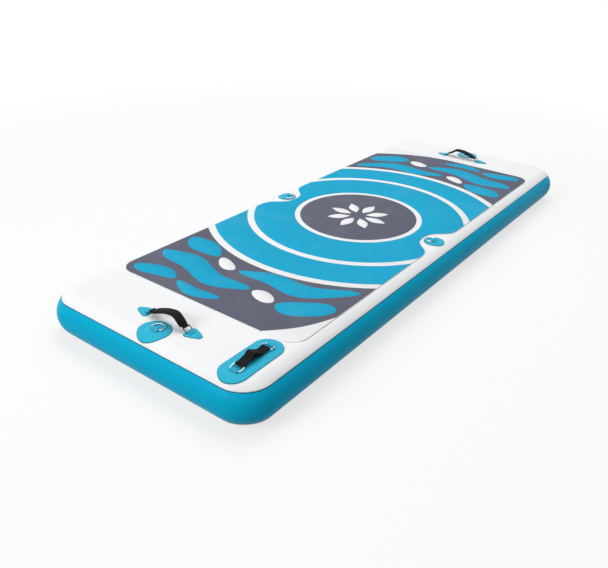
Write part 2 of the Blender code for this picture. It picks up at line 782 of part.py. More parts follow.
def handle_route(reach):
    """The handle's arch, between two places at the axis that are this far from its middle."""
    points = [(x_share * reach, rise_share * HANDLE_RISE) for x_share, rise_share in HANDLE_ROUTE_SHARES]
    return smooth_route(points, 2)


def make_handle_end(end, side, base, turn):
    """The fixed pieces at one end of a handle: patch, anchor, ring and the webbing's sewn loop."""
    name = f"{end}_handle"
    frame = new_empty(f"{name}_{side}_end", (0.0, 0.0, 0.0), (0.0, 0.0, turn), base)
    tip = HANDLE_PATCH_START + HANDLE_PATCH_LENGTH
    corners = [
        (HANDLE_PATCH_START, -HANDLE_PATCH_HALF_WIDTH),
        (tip, -HANDLE_TIP_HALF_WIDTH),
        (tip, HANDLE_TIP_HALF_WIDTH),
        (HANDLE_PATCH_START, HANDLE_PATCH_HALF_WIDTH),
    ]
    radii = [HANDLE_PATCH_ROUNDING, HANDLE_TIP_ROUNDING, HANDLE_TIP_ROUNDING, HANDLE_PATCH_ROUNDING]
    outline = rounded(corners, radii, 3)
    patch = plate(f"{name}_patch_{side}", [outline], PATCH_GAP, PATCH_TOP, "patch_teal")

    height = bar_height(HANDLE_WIRE_RADIUS)
    bar = new_empty(f"{name}_{side}_bar", (HANDLE_BAR_X, 0.0, height), parent=frame)
    fold = anchor_outline(HANDLE_WIRE_RADIUS, HANDLE_ANCHOR_TAIL)
    anchor = as_mesh(strip(f"{name}_anchor_{side}", fold, WEBBING_HALF_WIDTH, "X", "anchor_teal"))
    anchor_bore = cross_bore(anchor, HANDLE_WIRE_RADIUS, WEBBING_HALF_WIDTH, "Y")
    rise = HANDLE_AXIS_HEIGHT - height
    length = math.hypot(HANDLE_RING_RUN, rise)
    loop = bar_loop(HANDLE_RING_HALF_WIDTH, length, HANDLE_RING_ROUNDING, rise)
    ring = wire(f"{name}_ring_{side}", [(-y, x, z) for x, y, z in loop], HANDLE_WIRE_RADIUS, "black_wire")
    hang_on(bar, anchor, anchor_bore, ring)

    outer_bar = new_empty(f"{name}_{side}_outer_bar", (HANDLE_AXIS_X, 0.0, HANDLE_AXIS_HEIGHT), parent=frame)
    wrap = HANDLE_WIRE_RADIUS + GAP + END_LOOP_PLY
    fold = arc((0.0, 0.0), wrap, -90.0, 90.0, FOLD_STEPS) + [(-END_LOOP_LENGTH, wrap), (-END_LOOP_LENGTH, -wrap)]
    sewn_end = as_mesh(strip(f"{name}_end_loop_{side}", fold, WEBBING_HALF_WIDTH, "X", "black_webbing"))
    loop_bore = cross_bore(sewn_end, HANDLE_WIRE_RADIUS, WEBBING_HALF_WIDTH, "Y")
    hang_on(outer_bar, sewn_end, loop_bore)
    hang_on(frame, patch)


def make_handle(end, x, y, turn):
    """A carry handle. Its webbing and sleeve flop about the line through the outer bars of its rings."""
    base = new_empty(f"{end}_handle_base", (x, y, BODY_THICKNESS), (0.0, 0.0, turn))
    make_handle_end(end, "right", base, 0.0)
    make_handle_end(end, "left", base, math.pi)
    axis = new_empty(f"{end}_handle_axis", (0.0, 0.0, HANDLE_AXIS_HEIGHT), parent=base)
    half = WEBBING_THICKNESS / 2
    route = handle_route(HANDLE_FLEX_X - GAP)
    webbing = strip(
        f"{end}_handle_webbing", band(route, -half, half, True), WEBBING_HALF_WIDTH, "X", "black_webbing"
    )
    sleeve_route = handle_route(HANDLE_FLEX_X - GAP - SLEEVE_SETBACK)
    sleeve_band = band(sleeve_route, -SLEEVE_THICKNESS / 2, SLEEVE_THICKNESS / 2, True)
    sleeve = as_mesh(strip(f"{end}_handle_sleeve", sleeve_band, SLEEVE_HALF_WIDTH, "X", "black_webbing"))
    overrun_ends = [(route[0][0] - OVERRUN, route[0][1]), (route[-1][0] + OVERRUN, route[-1][1])]
    slot_route = [overrun_ends[0], *route, overrun_ends[1]]
    slot_band = band(slot_route, -half - GAP, half + GAP)
    slot = as_mesh(strip(f"{end}_handle_slot", slot_band, WEBBING_HALF_WIDTH + GAP, "X", None, CUTTERS))
    boolean(sleeve, slot)
    hang_on(axis, webbing, sleeve, slot)


def make_d_ring(place_name, ring_x, ring_y, turn, patch_centre, patch_radius):
    """A D-ring with its anchor and patch. In its own frame the ring points to -y."""
    make_deck_patch(f"{place_name}_d_ring_patch", circle(patch_radius, PATCH_STEPS, patch_centre))
    height = bar_height(RING_WIRE_RADIUS)
    axis = new_empty(f"{place_name}_d_ring_axis", (ring_x, ring_y, BODY_THICKNESS + height), (0.0, 0.0, turn))
    fold = anchor_outline(RING_WIRE_RADIUS, RING_ANCHOR_TAIL)
    anchor = as_mesh(strip(f"{place_name}_d_ring_anchor", fold, RING_ANCHOR_HALF_WIDTH, "Y", "anchor_teal"))
    bore = cross_bore(anchor, RING_WIRE_RADIUS, RING_ANCHOR_HALF_WIDTH, "X")
    corners = [
        (-RING_HALF_WIDTH, -RING_LEG),
        (-RING_HALF_WIDTH, 0.0),
        (RING_HALF_WIDTH, 0.0),
        (RING_HALF_WIDTH, -RING_LEG),
    ]
    outline = rounded(corners, [0.0, RING_ROUNDING, RING_ROUNDING, 0.0], 2)
    outline += arc((0.0, -RING_LEG), RING_HALF_WIDTH, 0.0, -180.0, RING_ARC_STEPS)[1:-1]
    drop = height - RING_WIRE_RADIUS - PATCH_TOP - GAP
    lean = math.asin(drop / (RING_LEG + RING_HALF_WIDTH))
    points = [(x, y * math.cos(lean), y * math.sin(lean)) for x, y in outline]
    ring = wire(f"{place_name}_d_ring", points, RING_WIRE_RADIUS, "steel")
    hang_on(axis, anchor, bore, ring)


def closure_route():
    """The line between the strap's two halves where they lap, from near to far."""
    points = []
    for step in range(CLOSURE_STEPS + 1):
        share = step / CLOSURE_STEPS
        rise = CLOSURE_RISE * math.sin(math.pi * share**CLOSURE_LEAN_SHARE)
        points.append((CLOSURE_NEAR + (CLOSURE_FAR - CLOSURE_NEAR) * share, CLOSURE_LOW + rise))
    return points


def strap_outline(route):
    """A strap folded round a bar at the route's first point, that thins to its own thickness."""
    wrap = STRAP_WIRE_RADIUS + GAP + STRAP_PLY
    half = STRAP_THICKNESS / 2
    normals = route_normals(route)
    halves = []
    travelled = 0.0
    for index, point in enumerate(route):
        travelled += math.dist(point, route[max(index - 1, 0)])
        share = max(0.0, 1.0 - travelled / STRAP_TAPER)
        halves.append(half + (wrap - half) * share * share * (3.0 - 2.0 * share))
    left = moved_off(route, normals, halves)
    right = moved_off(route, normals, [-distance for distance in halves])
    start = math.degrees(math.atan2(normals[0][1], normals[0][0]))
    fold = arc(route[0], wrap, start, start + 180.0, 5)
    return left[::-1] + fold[1:-1] + right


def make_strap_half(end, bar_y, sign, pad_name, pad_low, lap_offset):
    """One half of the strap, with its anchor, ring and closure pad. sign is the way that it points."""
    height = bar_height(STRAP_WIRE_RADIUS)
    place = (STRAP_PATCH_X, STRAP_PATCH_Y + bar_y, BODY_THICKNESS + height)
    axis = new_empty(f"strap_{end}_axis", place)
    fold = anchor_outline(STRAP_WIRE_RADIUS, STRAP_ANCHOR_TAIL)
    if sign > 0:
        fold = mirrored(fold)
    anchor = as_mesh(strip(f"strap_anchor_{end}", fold, STRAP_ANCHOR_HALF_WIDTH, "Y", "anchor_teal"))
    anchor_bore = cross_bore(anchor, STRAP_WIRE_RADIUS, STRAP_ANCHOR_HALF_WIDTH, "X")
    loop = bar_loop(STRAP_RING_HALF_WIDTH, STRAP_RING_LENGTH, STRAP_RING_ROUNDING, STRAP_RING_RISE)
    ring = wire(f"strap_ring_{end}", [(x, sign * y, z) for x, y, z in loop], STRAP_WIRE_RADIUS, "steel")

    closure = [(y - bar_y, z - height) for y, z in closure_route()]
    lap = moved_off(closure, route_normals(closure), [lap_offset] * len(closure))[::sign]
    first = (sign * math.sqrt(STRAP_RING_LENGTH**2 - STRAP_RING_RISE**2), STRAP_RING_RISE)
    rise = lap[0][1] - first[1]
    run = lap[0][0] - first[0]
    lead = [first, (first[0] + run / 3, first[1] + rise / 3), (first[0] + run * 2 / 3, first[1] + rise * 2 / 3)]
    outline = strap_outline(smooth_route([*lead, *lap], 2))
    strap = as_mesh(strip(f"strap_{end}", outline, STRAP_HALF_WIDTH, "Y", "black_webbing"))
    strap_bore = cross_bore(strap, STRAP_WIRE_RADIUS, STRAP_HALF_WIDTH, "X", (0.0, *first))
    pad_outline_points = band(closure[1:-1], pad_low, pad_low + CLOSURE_PAD_THICKNESS)
    pad = strip(pad_name, pad_outline_points, CLOSURE_PAD_HALF_WIDTH, "Y", "black_webbing")
    hang_on(axis, anchor, anchor_bore, ring, strap, strap_bore, pad)


def make_strap():
    """The paddle strap. Each half and its ring swing up about the ring's bar in its anchor."""
    outline = rounded_rectangle(
        STRAP_PATCH_HALF_WIDTH, STRAP_PATCH_HALF_LENGTH, STRAP_PATCH_HALF_WIDTH - GAP, STRAP_PATCH_STEPS
    )
    placed = [(x + STRAP_PATCH_X, y + STRAP_PATCH_Y) for x, y in outline]
    make_deck_patch("strap_patch", placed, STRAP_PATCH_BENDS_INSIDE)
    lap_offset = GAP / 2 + CLOSURE_PAD_THICKNESS + GAP + STRAP_THICKNESS / 2
    pad_low = GAP / 2
    make_strap_half("near", STRAP_NEAR_BAR, 1, "strap_loop_pad", pad_low, lap_offset)
    make_strap_half("far", STRAP_FAR_BAR, -1, "strap_hook_pad", -pad_low - CLOSURE_PAD_THICKNESS, -lap_offset)


def wall_cylinder(name, radius, reach):
    """A solid that follows the wall's round section, as seen from the valve's place."""
    item = cylinder(name, radius, -reach, reach, 4 * VALVE_SEGMENTS)
    item.location.z = -WALL_RADIUS
    item.rotation_euler = (0.0, math.pi / 2, 0.0)
    return item


def make_valve_boot():
    """The welded boot: a saddle behind the wall, a neck in its hole, and a recessed seat."""
    front = wall_cylinder("boot_front", WALL_RADIUS * WALL_FACET_SHARE, BOOT_SADDLE_RADIUS + OVERRUN)
    saddle_radius = (WALL_RADIUS - SKIN_THICKNESS) * WALL_FACET_SHARE - GAP
    saddle_front = wall_cylinder("boot_saddle_front", saddle_radius, BOOT_SADDLE_RADIUS + OVERRUN)
    saddle_back = wall_cylinder("boot_saddle_back", saddle_radius - BOOT_WALL, BOOT_SADDLE_RADIUS + 2 * OVERRUN)
    saddle = cylinder("boot_saddle", BOOT_SADDLE_RADIUS, -WALL_RADIUS, OVERRUN, VALVE_SEGMENTS)
    boolean(saddle, saddle_front, "INTERSECT")
    boolean(saddle, saddle_back)
    back = -SEAT_DEPTH - BOOT_WALL
    boot = cylinder("valve_boot", VALVE_HOLE_RADIUS - GAP, back, OVERRUN, VALVE_SEGMENTS, "patch_teal", PARTS)
    boolean(boot, front, "INTERSECT")
    boolean(boot, saddle, "UNION")
    recess = cylinder("boot_recess", BOOT_RECESS_RADIUS, -SEAT_DEPTH, 2 * OVERRUN, VALVE_SEGMENTS)
    boolean(boot, recess)
    bore = cylinder("boot_bore", VALVE_BARREL_RADIUS + 2 * GAP, back - OVERRUN, 2 * OVERRUN, VALVE_SEGMENTS)
    boolean(boot, bore)
    hang_on(VALVE_PLACE, front, saddle_front, saddle_back, saddle, boot, recess, bore)


def make_spoke(name, turn):
    """A flat arm from the web's ring to its hub."""
    inside = STEM_RADIUS + SPOKE_WIDTH / 2
    outside = SEAT_RADIUS + GAP
    mesh = bpy.data.meshes.new(name)
    shape = bmesh.new()
    bmesh.ops.create_cube(shape, size=1.0)
    bmesh.ops.scale(shape, vec=(outside - inside, SPOKE_WIDTH, WEB_THICKNESS - 2 * GAP), verts=shape.verts)
    middle = ((inside + outside) / 2, 0.0, -WEB_DEPTH - WEB_THICKNESS / 2)
    bmesh.ops.translate(shape, vec=middle, verts=shape.verts)
    bmesh.ops.rotate(shape, matrix=Matrix.Rotation(turn, 3, "Z"), verts=shape.verts)
    shape.to_mesh(mesh)
    shape.free()
    return add_object(name, mesh, None, CUTTERS)


def make_valve_body():
    """The valve's neck, flange and barrel, with a spoked web that guides the plunger."""
    neck_front = CAP_INNER_FACE + GAP
    body_profile = [
        (VALVE_NECK_RADIUS, neck_front),
        (VALVE_NECK_RADIUS, FLANGE_FRONT),
        (VALVE_FLANGE_RADIUS, FLANGE_FRONT),
        (VALVE_FLANGE_RADIUS, FLANGE_BACK),
        (VALVE_BARREL_RADIUS, FLANGE_BACK),
        (VALVE_BARREL_RADIUS, VALVE_BARREL_END),
        (VALVE_BORE_RADIUS, VALVE_BARREL_END),
        (VALVE_BORE_RADIUS, WEB_BACK),
        (SEAT_RADIUS, WEB_BACK),
        (SEAT_RADIUS, WEB_DEPTH),
        (VALVE_BORE_RADIUS, WEB_DEPTH),
        (VALVE_BORE_RADIUS, neck_front),
    ]
    hub_profile = [
        (BOSS_RADIUS, WEB_DEPTH - BOSS_LENGTH),
        (BOSS_RADIUS, WEB_DEPTH),
        (HUB_RADIUS, WEB_DEPTH),
        (HUB_RADIUS, WEB_BACK),
        (STEM_RADIUS + GAP, WEB_BACK),
        (STEM_RADIUS + GAP, WEB_DEPTH - BOSS_LENGTH),
    ]
    body = turned("valve_body", body_profile, "valve_plastic")
    hub = turned("valve_hub", hub_profile, None, collection=CUTTERS)
    boolean(body, hub, "UNION")
    hang_on(VALVE_PLACE, body, hub)
    for index in range(SPOKE_COUNT):
        spoke = make_spoke(f"valve_spoke_{index}", 2 * math.pi * index / SPOKE_COUNT)
        boolean(body, spoke, "UNION")
        hang_on(VALVE_PLACE, spoke)


def washer(name, inside, outside, start, thickness, finish):
    """A flat ring that starts at a depth."""
    end = start + thickness
    return turned(name, [(outside, start), (outside, end), (inside, end), (inside, start)], finish)


def make_plunger():
    disc_front = WEB_BACK + GAP
    disc_back = disc_front + PLUNGER_DISC_THICKNESS
    button_back = BUTTON_DEPTH + BUTTON_THICKNESS
    profile = [
        (0.0, BUTTON_DEPTH),
        (BUTTON_RADIUS, BUTTON_DEPTH),
        (BUTTON_RADIUS, button_back),
        (STEM_RADIUS, button_back),
        (STEM_RADIUS, disc_front),
        (PLUNGER_DISC_RADIUS, disc_front),
        (PLUNGER_DISC_RADIUS, disc_back),
        (0.0, disc_back),
    ]
    return turned("valve_plunger", profile, "valve_plastic", False)


def make_spring():
    start = BUTTON_DEPTH + BUTTON_THICKNESS + GAP + SPRING_WIRE_RADIUS
    end = SPRING_END - SPRING_WIRE_RADIUS
    count = SPRING_TURNS * SPRING_POINTS
    points = []
    for step in range(count + 1):
        angle = 2 * math.pi * step / SPRING_POINTS
        depth = start + (end - start) * step / count
        points.append((SPRING_RADIUS * math.cos(angle), SPRING_RADIUS * math.sin(angle), -depth))
    return wire("valve_spring", points, SPRING_WIRE_RADIUS, "steel", False)


def make_cap():
    """The screw cap: a notched skirt over the neck and a plug that carries the seal."""
    skirt_end = FLANGE_FRONT - GAP
    lip_front = PLUG_END - PLUG_LIP_THICKNESS
    profile = [
        (0.0, CAP_DEPTH),
        (CAP_RADIUS - CAP_BEVEL, CAP_DEPTH),
        (CAP_RADIUS, CAP_DEPTH + CAP_BEVEL),
        (CAP_RADIUS, skirt_end),
        (VALVE_NECK_RADIUS + GAP, skirt_end),
        (VALVE_NECK_RADIUS + GAP, CAP_INNER_FACE),
        (PLUG_RADIUS, CAP_INNER_FACE),
        (PLUG_RADIUS, lip_front),
        (PLUG_LIP_RADIUS, lip_front),
        (PLUG_LIP_RADIUS, PLUG_END),
        (PLUG_RADIUS - PLUG_WALL, PLUG_END),
        (PLUG_RADIUS - PLUG_WALL, CAP_INNER_FACE),
        (0.0, CAP_INNER_FACE),
    ]
    cap = turned("valve_cap", profile, "valve_plastic", False)
    reach = CAP_RADIUS + CAP_NOTCH_RADIUS - CAP_NOTCH_DEPTH
    for index in range(CAP_NOTCH_COUNT):
        angle = 2 * math.pi * index / CAP_NOTCH_COUNT
        notch = cylinder(f"cap_notch_{index}", CAP_NOTCH_RADIUS, -SEAT_DEPTH, OVERRUN, BORE_SEGMENTS)
        notch.location = (reach * math.cos(angle), reach * math.sin(angle), 0.0)
        hang_on(VALVE_PLACE, notch)
        boolean(cap, notch)
    return cap


def make_cap_seal():
    depth = PLUG_END - PLUG_LIP_THICKNESS - GAP - SEAL_WIRE_RADIUS
    section = circle(SEAL_WIRE_RADIUS, SEAL_SIDES, (SEAL_RADIUS, depth))
    return turned("cap_seal", section, "rubber")


def make_valve():
    make_valve_boot()
    make_valve_body()
    bore = VALVE_BARREL_RADIUS + GAP
    nut_front = SEAT_DEPTH + BOOT_WALL + GAP
    gasket = washer("valve_gasket", bore + GAP, VALVE_FLANGE_RADIUS - GAP, GASKET_DEPTH, GASKET_THICKNESS, "rubber")
    nut = washer("valve_nut", bore, NUT_RADIUS, nut_front, NUT_THICKNESS, "valve_plastic")
    hang_on(VALVE_PLACE, gasket, nut, make_plunger(), make_spring(), make_cap(), make_cap_seal())


VALVE_PLACE = new_empty("valve_place", (VALVE_X, MAT_LENGTH / 2, BODY_THICKNESS / 2), (-math.pi / 2, 0.0, 0.0))


def main():
    make_face_skin("top_skin", 1)
    make_face_skin("bottom_skin", -1)
    make_side_wall()
    make_drop_thread()
    make_deck_pad()
    make_handle("near", NEAR_HANDLE_X, NEAR_HANDLE_Y, 0.0)
    make_handle("far", FAR_HANDLE_X, FAR_HANDLE_Y, math.pi)
    rings = {
        "near": (NEAR_HANDLE_X, NEAR_RING_Y, math.pi, (NEAR_HANDLE_X, NEAR_PATCH_Y), END_PATCH_RADIUS),
        "far": (FAR_HANDLE_X, FAR_RING_Y, 0.0, (FAR_HANDLE_X, FAR_PATCH_Y), END_PATCH_RADIUS),
        "right": (SIDE_RING_X, SIDE_RING_Y, -math.pi / 2, (SIDE_PATCH_X, SIDE_RING_Y), SIDE_PATCH_RADIUS),
        "left": (-SIDE_RING_X, SIDE_RING_Y, math.pi / 2, (-SIDE_PATCH_X, SIDE_RING_Y), SIDE_PATCH_RADIUS),
    }
    for place_name, places in rings.items():
        make_d_ring(place_name, *places)
    make_strap()
    make_valve()


main()
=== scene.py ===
"""The looks of a floating fitness mat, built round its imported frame.

Metres, +Z up. The origin is at the middle of the underside. +Y runs away from the strap's end.
"""

import logging
import math
from dataclasses import dataclass
from enum import Enum
from typing import Callable, Iterable, Optional, Sequence, Union

import bmesh
import bpy
from bmesh.types import BMEdge, BMesh, BMFace, BMLayerItem, BMVert
from bpy.types import Material, NodeLinks, Nodes, NodeSocket, Object
from mathutils import Euler, Matrix, Vector


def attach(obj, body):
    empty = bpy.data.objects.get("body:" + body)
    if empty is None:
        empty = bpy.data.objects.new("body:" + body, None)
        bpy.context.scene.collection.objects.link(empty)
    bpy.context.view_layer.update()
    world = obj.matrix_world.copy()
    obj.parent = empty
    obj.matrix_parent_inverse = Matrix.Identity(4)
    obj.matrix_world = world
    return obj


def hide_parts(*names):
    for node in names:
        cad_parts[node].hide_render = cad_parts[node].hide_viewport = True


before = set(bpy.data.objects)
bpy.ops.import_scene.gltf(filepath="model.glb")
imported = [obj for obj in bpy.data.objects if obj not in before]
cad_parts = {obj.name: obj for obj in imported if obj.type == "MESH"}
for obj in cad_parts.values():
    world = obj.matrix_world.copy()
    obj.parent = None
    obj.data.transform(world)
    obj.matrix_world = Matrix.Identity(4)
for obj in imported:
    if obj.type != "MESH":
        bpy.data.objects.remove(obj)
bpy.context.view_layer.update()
LOG = logging.getLogger("fitness_mat")

MM = 0.001
GAP = 0.3 * MM

# Angles in degrees above which an edge stays sharp
TAPE_SHARP = 60.0
SHEET_SHARP = 50.0
TURNED_SHARP = 35.0

WHITE = (1.0, 1.0, 1.0, 1.0)

Number = Union["Wire", float]
Colour = tuple[float, float, float]
Point = tuple[float, float]
Triple = tuple[float, float, float]
Section = Callable[[float], Sequence[Point]]
Off = Union[float, Callable[[float], float]]


# Shader trees


class Wire:
    """A node's output, which Python's operators join to Math nodes."""

    def __init__(self, board: "Board", socket: NodeSocket) -> None:
        """Holds an output of a material's tree."""
        self.board = board
        self.socket = socket

    def __add__(self, other: Number) -> "Wire":
        """Adds a value."""
        return self.board.maths("ADD", self, other)

    def __radd__(self, other: Number) -> "Wire":
        """Adds this to a number."""
        return self.board.maths("ADD", other, self)

    def __sub__(self, other: Number) -> "Wire":
        """Takes a value away."""
        return self.board.maths("SUBTRACT", self, other)

    def __rsub__(self, other: Number) -> "Wire":
        """Takes this away from a number."""
        return self.board.maths("SUBTRACT", other, self)

    def __mul__(self, other: Number) -> "Wire":
        """Multiplies by a value."""
        return self.board.maths("MULTIPLY", self, other)

    def __rmul__(self, other: Number) -> "Wire":
        """Multiplies a number by this."""
        return self.board.maths("MULTIPLY", other, self)

    def __pow__(self, other: Number) -> "Wire":
        """Raises this to a power."""
        return self.board.maths("POWER", self, other)

    def sine(self) -> "Wire":
        """The sine of this, in radians."""
        return self.board.maths("SINE", self, 0.0)

    def above(self, edge: float, softness: float) -> "Wire":
        """A mask that climbs from 0 to 1 over a soft edge.

        Args:
            edge: The value in the middle of the climb.
            softness: The width of the climb.

        Returns:
            The mask.
        """
        start = edge - softness / 2
        settings = {"interpolation_type": "SMOOTHSTEP"}
        return self.board.add("MapRange", settings, {0: self, 1: start, 2: start + softness})


class Board:
    """The node tree of one material."""

    def __init__(self, name: str) -> None:
        """Starts a material with its own shader.

        Args:
            name: The material's name.
        """
        self.material = bpy.data.materials.new(name)
        self.material.use_nodes = True
        self.nodes = self.material.node_tree.nodes
        self.links = self.material.node_tree.links
        self.shader = self.nodes["Principled BSDF"]

    def join(self, value: object, socket: NodeSocket) -> None:
        """Links or sets a socket.

        Args:
            value: A wire or a plain value.
            socket: The input.
        """
        if isinstance(value, Wire):
            self.links.new(value.socket, socket)
        else:
            socket.default_value = value

    def add(self, kind: str, settings: dict, inputs: dict, output: Union[int, str] = 0) -> Wire:
        """Adds a node.

        Args:
            kind: The node's type, without its first word.
            settings: Its own settings, set before its sockets.
            inputs: Values or wires by socket.
            output: The output that is used.

        Returns:
            That output.
        """
        node = self.nodes.new(f"ShaderNode{kind}")
        for name, value in settings.items():
            setattr(node, name, value)
        for key, value in inputs.items():
            self.join(value, node.inputs[key])
        return Wire(self, node.outputs[output])

    def maths(self, operation: str, first: Number, second: Number) -> Wire:
        """A Math node on two values."""
        return self.add("Math", {"operation": operation}, {0: first, 1: second})

    def mix(self, share: Number, first: object, second: object) -> Wire:
        """A blend of two colours."""
        settings = {"data_type": "RGBA", "clamp_factor": True}
        return self.add("Mix", settings, {0: share, 6: opaque(first), 7: opaque(second)}, 2)

    def place(self) -> Wire:
        """The place on the piece, in its own frame."""
        return self.add("TexCoord", {}, {}, "Object")

    def axes(self) -> tuple[Wire, Wire, Wire]:
        """Splits the place.

        Returns:
            Its three parts.
        """
        split = self.add("SeparateXYZ", {}, {0: self.place()})
        node = split.socket.node
        return tuple(Wire(self, node.outputs[index]) for index in range(3))

    def attribute(self, name: str) -> Wire:
        """A number that the mesh holds at each point."""
        return self.add("Attribute", {"attribute_name": name}, {}, "Fac")

    def noise(self, size: float, detail: float = 2.0, finer: Sequence[float] = (1, 1, 1)) -> Wire:
        """Clouds of a size, with finer layers, and finer along each axis by a factor."""
        scaled = self.add("Mapping", {}, {"Vector": self.place(), "Scale": finer})
        return self.add("TexNoise", {}, {"Vector": scaled, "Scale": 1.0 / size, "Detail": detail})

    def cells(self, size: float) -> Wire:
        """The distance to the nearest edge of rounded cells, in cell widths."""
        inputs = {"Vector": self.place(), "Scale": 1.0 / size}
        return self.add("TexVoronoi", {"feature": "DISTANCE_TO_EDGE"}, inputs, "Distance")

    def relief(self, height: Number, depth: float, below: Optional[Wire] = None) -> Wire:
        """A bump in the surface.

        Args:
            height: The relief, from 0 to 1.
            depth: How deep 1 is, in metres.
            below: A bump that this one lies on.

        Returns:
            The surface's direction.
        """
        inputs = {"Height": height, "Distance": depth, "Strength": 1.0}
        if below:
            inputs["Normal"] = below
        return self.add("Bump", {}, inputs, "Normal")

    def finish(self, **inputs: object) -> Material:
        """Sets the shader's inputs.

        Args:
            **inputs: Values or wires, by the input's name with underscores.

        Returns:
            The material.
        """
        for name, value in inputs.items():
            label = name.replace("_", " ").title().replace("Ior", "IOR")
            self.join(value, self.shader.inputs[label])
        return self.material


def opaque(colour: object) -> object:
    """A colour with its fourth number, or a wire as it is."""
    return colour if isinstance(colour, Wire) else (*colour, 1.0)


def shaded(colour: Colour, share: float) -> Colour:
    """A colour made darker or lighter by a share."""
    return tuple(part * share for part in colour)


# Finishes


@dataclass(frozen=True)
class CoatedFabric:
    """PVC laid on woven cloth, as on the hull and its patches."""

    slot: str
    word: str
    colour: Colour
    roughness: float = 0.42
    pitch: float = 1.1 * MM
    relief: float = 0.05 * MM
    cloud: float = 350 * MM
    speck: float = 9 * MM
    grime_patch: float = 50 * MM
    grime: Colour = (0.30, 0.29, 0.27)
    grime_share: float = 0.015
    ripple: float = 60 * MM
    ripple_depth: float = 0.35 * MM
    # How dark the painted shade along a patch's edge makes the colour.
    rim_shade: float = 0.42
    gloss: float = 0.10

    def material(self) -> Material:
        """Makes the cloth's fine weave under a satin coat, with faint clouds and grime, and
        painted shade along a patch's edge.

        Returns:
            The material.
        """
        board = Board(f"coated_{self.slot}_{self.word}")
        x, y, z = board.axes()
        waves = [(axis * (math.tau / self.pitch)).sine() for axis in (x, y, z)]
        weave = (waves[0] * waves[1] + waves[1] * waves[2] + waves[2] * waves[0]) * 0.25 + 0.5
        clouds = board.noise(self.cloud, 3.0)
        specks = board.noise(self.speck, 3.0)
        tone = clouds * 0.6 + specks * 0.4
        base = board.mix(tone, shaded(self.colour, 0.93), shaded(self.colour, 1.04))
        # Painted shade: darker where the mesh's rim value is set, along a patch's raised edge and
        # the band inside it.
        base = board.mix(board.attribute("rim") * 0.9, base, shaded(self.colour, self.rim_shade))
        marks = board.noise(self.grime_patch, 5.0).above(0.62, 0.16) * self.grime_share
        ripple = board.relief(board.noise(self.ripple, 2.0), self.ripple_depth)
        return board.finish(
            base_color=board.mix(marks, base, self.grime),
            roughness=specks * 0.14 + clouds * 0.10 + (self.roughness - 0.12),
            normal=board.relief(weave, self.relief, ripple),
            specular_ior_level=self.gloss,
        )


@dataclass(frozen=True)
class DeckFoam:
    """Closed-cell foam with a pebbled skin."""

    slot: str
    word: str
    colour: Colour
    # How light the colour stays in the painted shade between pebbles.
    valley_shade: float = 0.88
    pebble: float = 2.4 * MM
    relief: float = 0.16 * MM
    pore: float = 0.9 * MM
    pore_depth: float = 0.05 * MM
    cloud: float = 280 * MM
    wear_patch: float = 110 * MM
    worn: Colour = (0.55, 0.57, 0.58)

    def material(self) -> Material:
        """Makes matt foam with pebbles, pores and faint wear where feet stand, and painted shade
        in the valleys between pebbles.

        Returns:
            The material.
        """
        board = Board(f"foam_{self.slot}_{self.word}")
        cells = board.cells(self.pebble).above(0.16, 0.30)
        clouds = board.noise(self.cloud, 4.0)
        wear = board.noise(self.wear_patch, 4.0).above(0.60, 0.25)
        # Painted shade: the valleys between pebbles are darker than their tops.
        base = board.mix(cells, shaded(self.colour, self.valley_shade), self.colour)
        worn = board.mix(wear * 0.03 + clouds * 0.02, base, self.worn)
        ground = board.relief(board.noise(self.pore, 2.0), self.pore_depth)
        return board.finish(
            base_color=worn,
            roughness=clouds * 0.10 + 0.78 - wear * 0.08,
            normal=board.relief(cells, self.relief, ground),
            specular_ior_level=0.12,
        )


@dataclass(frozen=True)
class Webbing:
    """Woven tape, whose pattern follows the tape's length."""

    slot: str
    word: str
    colour: Colour
    rib: float = 1.5 * MM
    pick: float = 1.1 * MM
    relief: float = 0.22 * MM
    roughness: float = 0.78
    coat: float = 0.0
    fuzz: float = 0.5 * MM
    wear_patch: float = 14 * MM
    worn_black: Colour = (0.016, 0.016, 0.018)

    def material(self) -> Material:
        """Makes staggered ribs along the tape, with fuzz and paler worn tops, painted shade in the
        weave's hollows and painted light on its ribs.

        Returns:
            The material.
        """
        board = Board(f"woven_{self.slot}_{self.word}")
        along = board.attribute("along") * (math.tau / self.pick)
        across = board.attribute("across") * (math.tau / self.rib)
        ribs = across.sine() * 0.5 + 0.5
        picks = (along + across.sine() * 1.6).sine() * 0.5 + 0.5
        weave = ribs * 0.55 + picks * 0.45
        fuzz = board.noise(self.fuzz, 3.0)
        wear = board.noise(self.wear_patch, 3.0).above(0.58, 0.25)
        worn = shaded(self.colour, 1.25) if sum(self.colour) > 0.3 else self.worn_black
        height = weave * 0.8 + fuzz * 0.2
        # Painted shade and light: darker in the weave's hollows, lighter on its ribs.
        tone = board.mix(height, shaded(self.colour, 0.55), shaded(self.colour, 1.2))
        return board.finish(
            base_color=board.mix(wear * weave * 0.6, tone, worn),
            roughness=fuzz * 0.15 + (self.roughness - 0.05),
            normal=board.relief(height, self.relief),
            specular_ior_level=0.14,
            coat_weight=self.coat,
            coat_roughness=0.3,
        )


@dataclass(frozen=True)
class Metal:
    """Wire of polished steel, or wire with a dark coat."""

    slot: str
    word: str
    colour: Colour
    metallic: float
    roughness: float
    scratch: float = 2.2 * MM
    scratch_depth: float = 0.008 * MM
    stain: float = 11 * MM

    def material(self) -> Material:
        """Makes drawn wire with fine scratches and uneven polish.

        Returns:
            The material.
        """
        board = Board(f"wire_{self.slot}")
        scratches = board.noise(self.scratch, 4.0, (1.0, 1.0, 7.0))
        stains = board.noise(self.stain, 3.0)
        return board.finish(
            base_color=board.mix(stains, shaded(self.colour, 0.82), self.colour),
            metallic=self.metallic,
            roughness=scratches * 0.16 + stains * 0.10 + (self.roughness - 0.08),
            normal=board.relief(scratches, self.scratch_depth),
        )


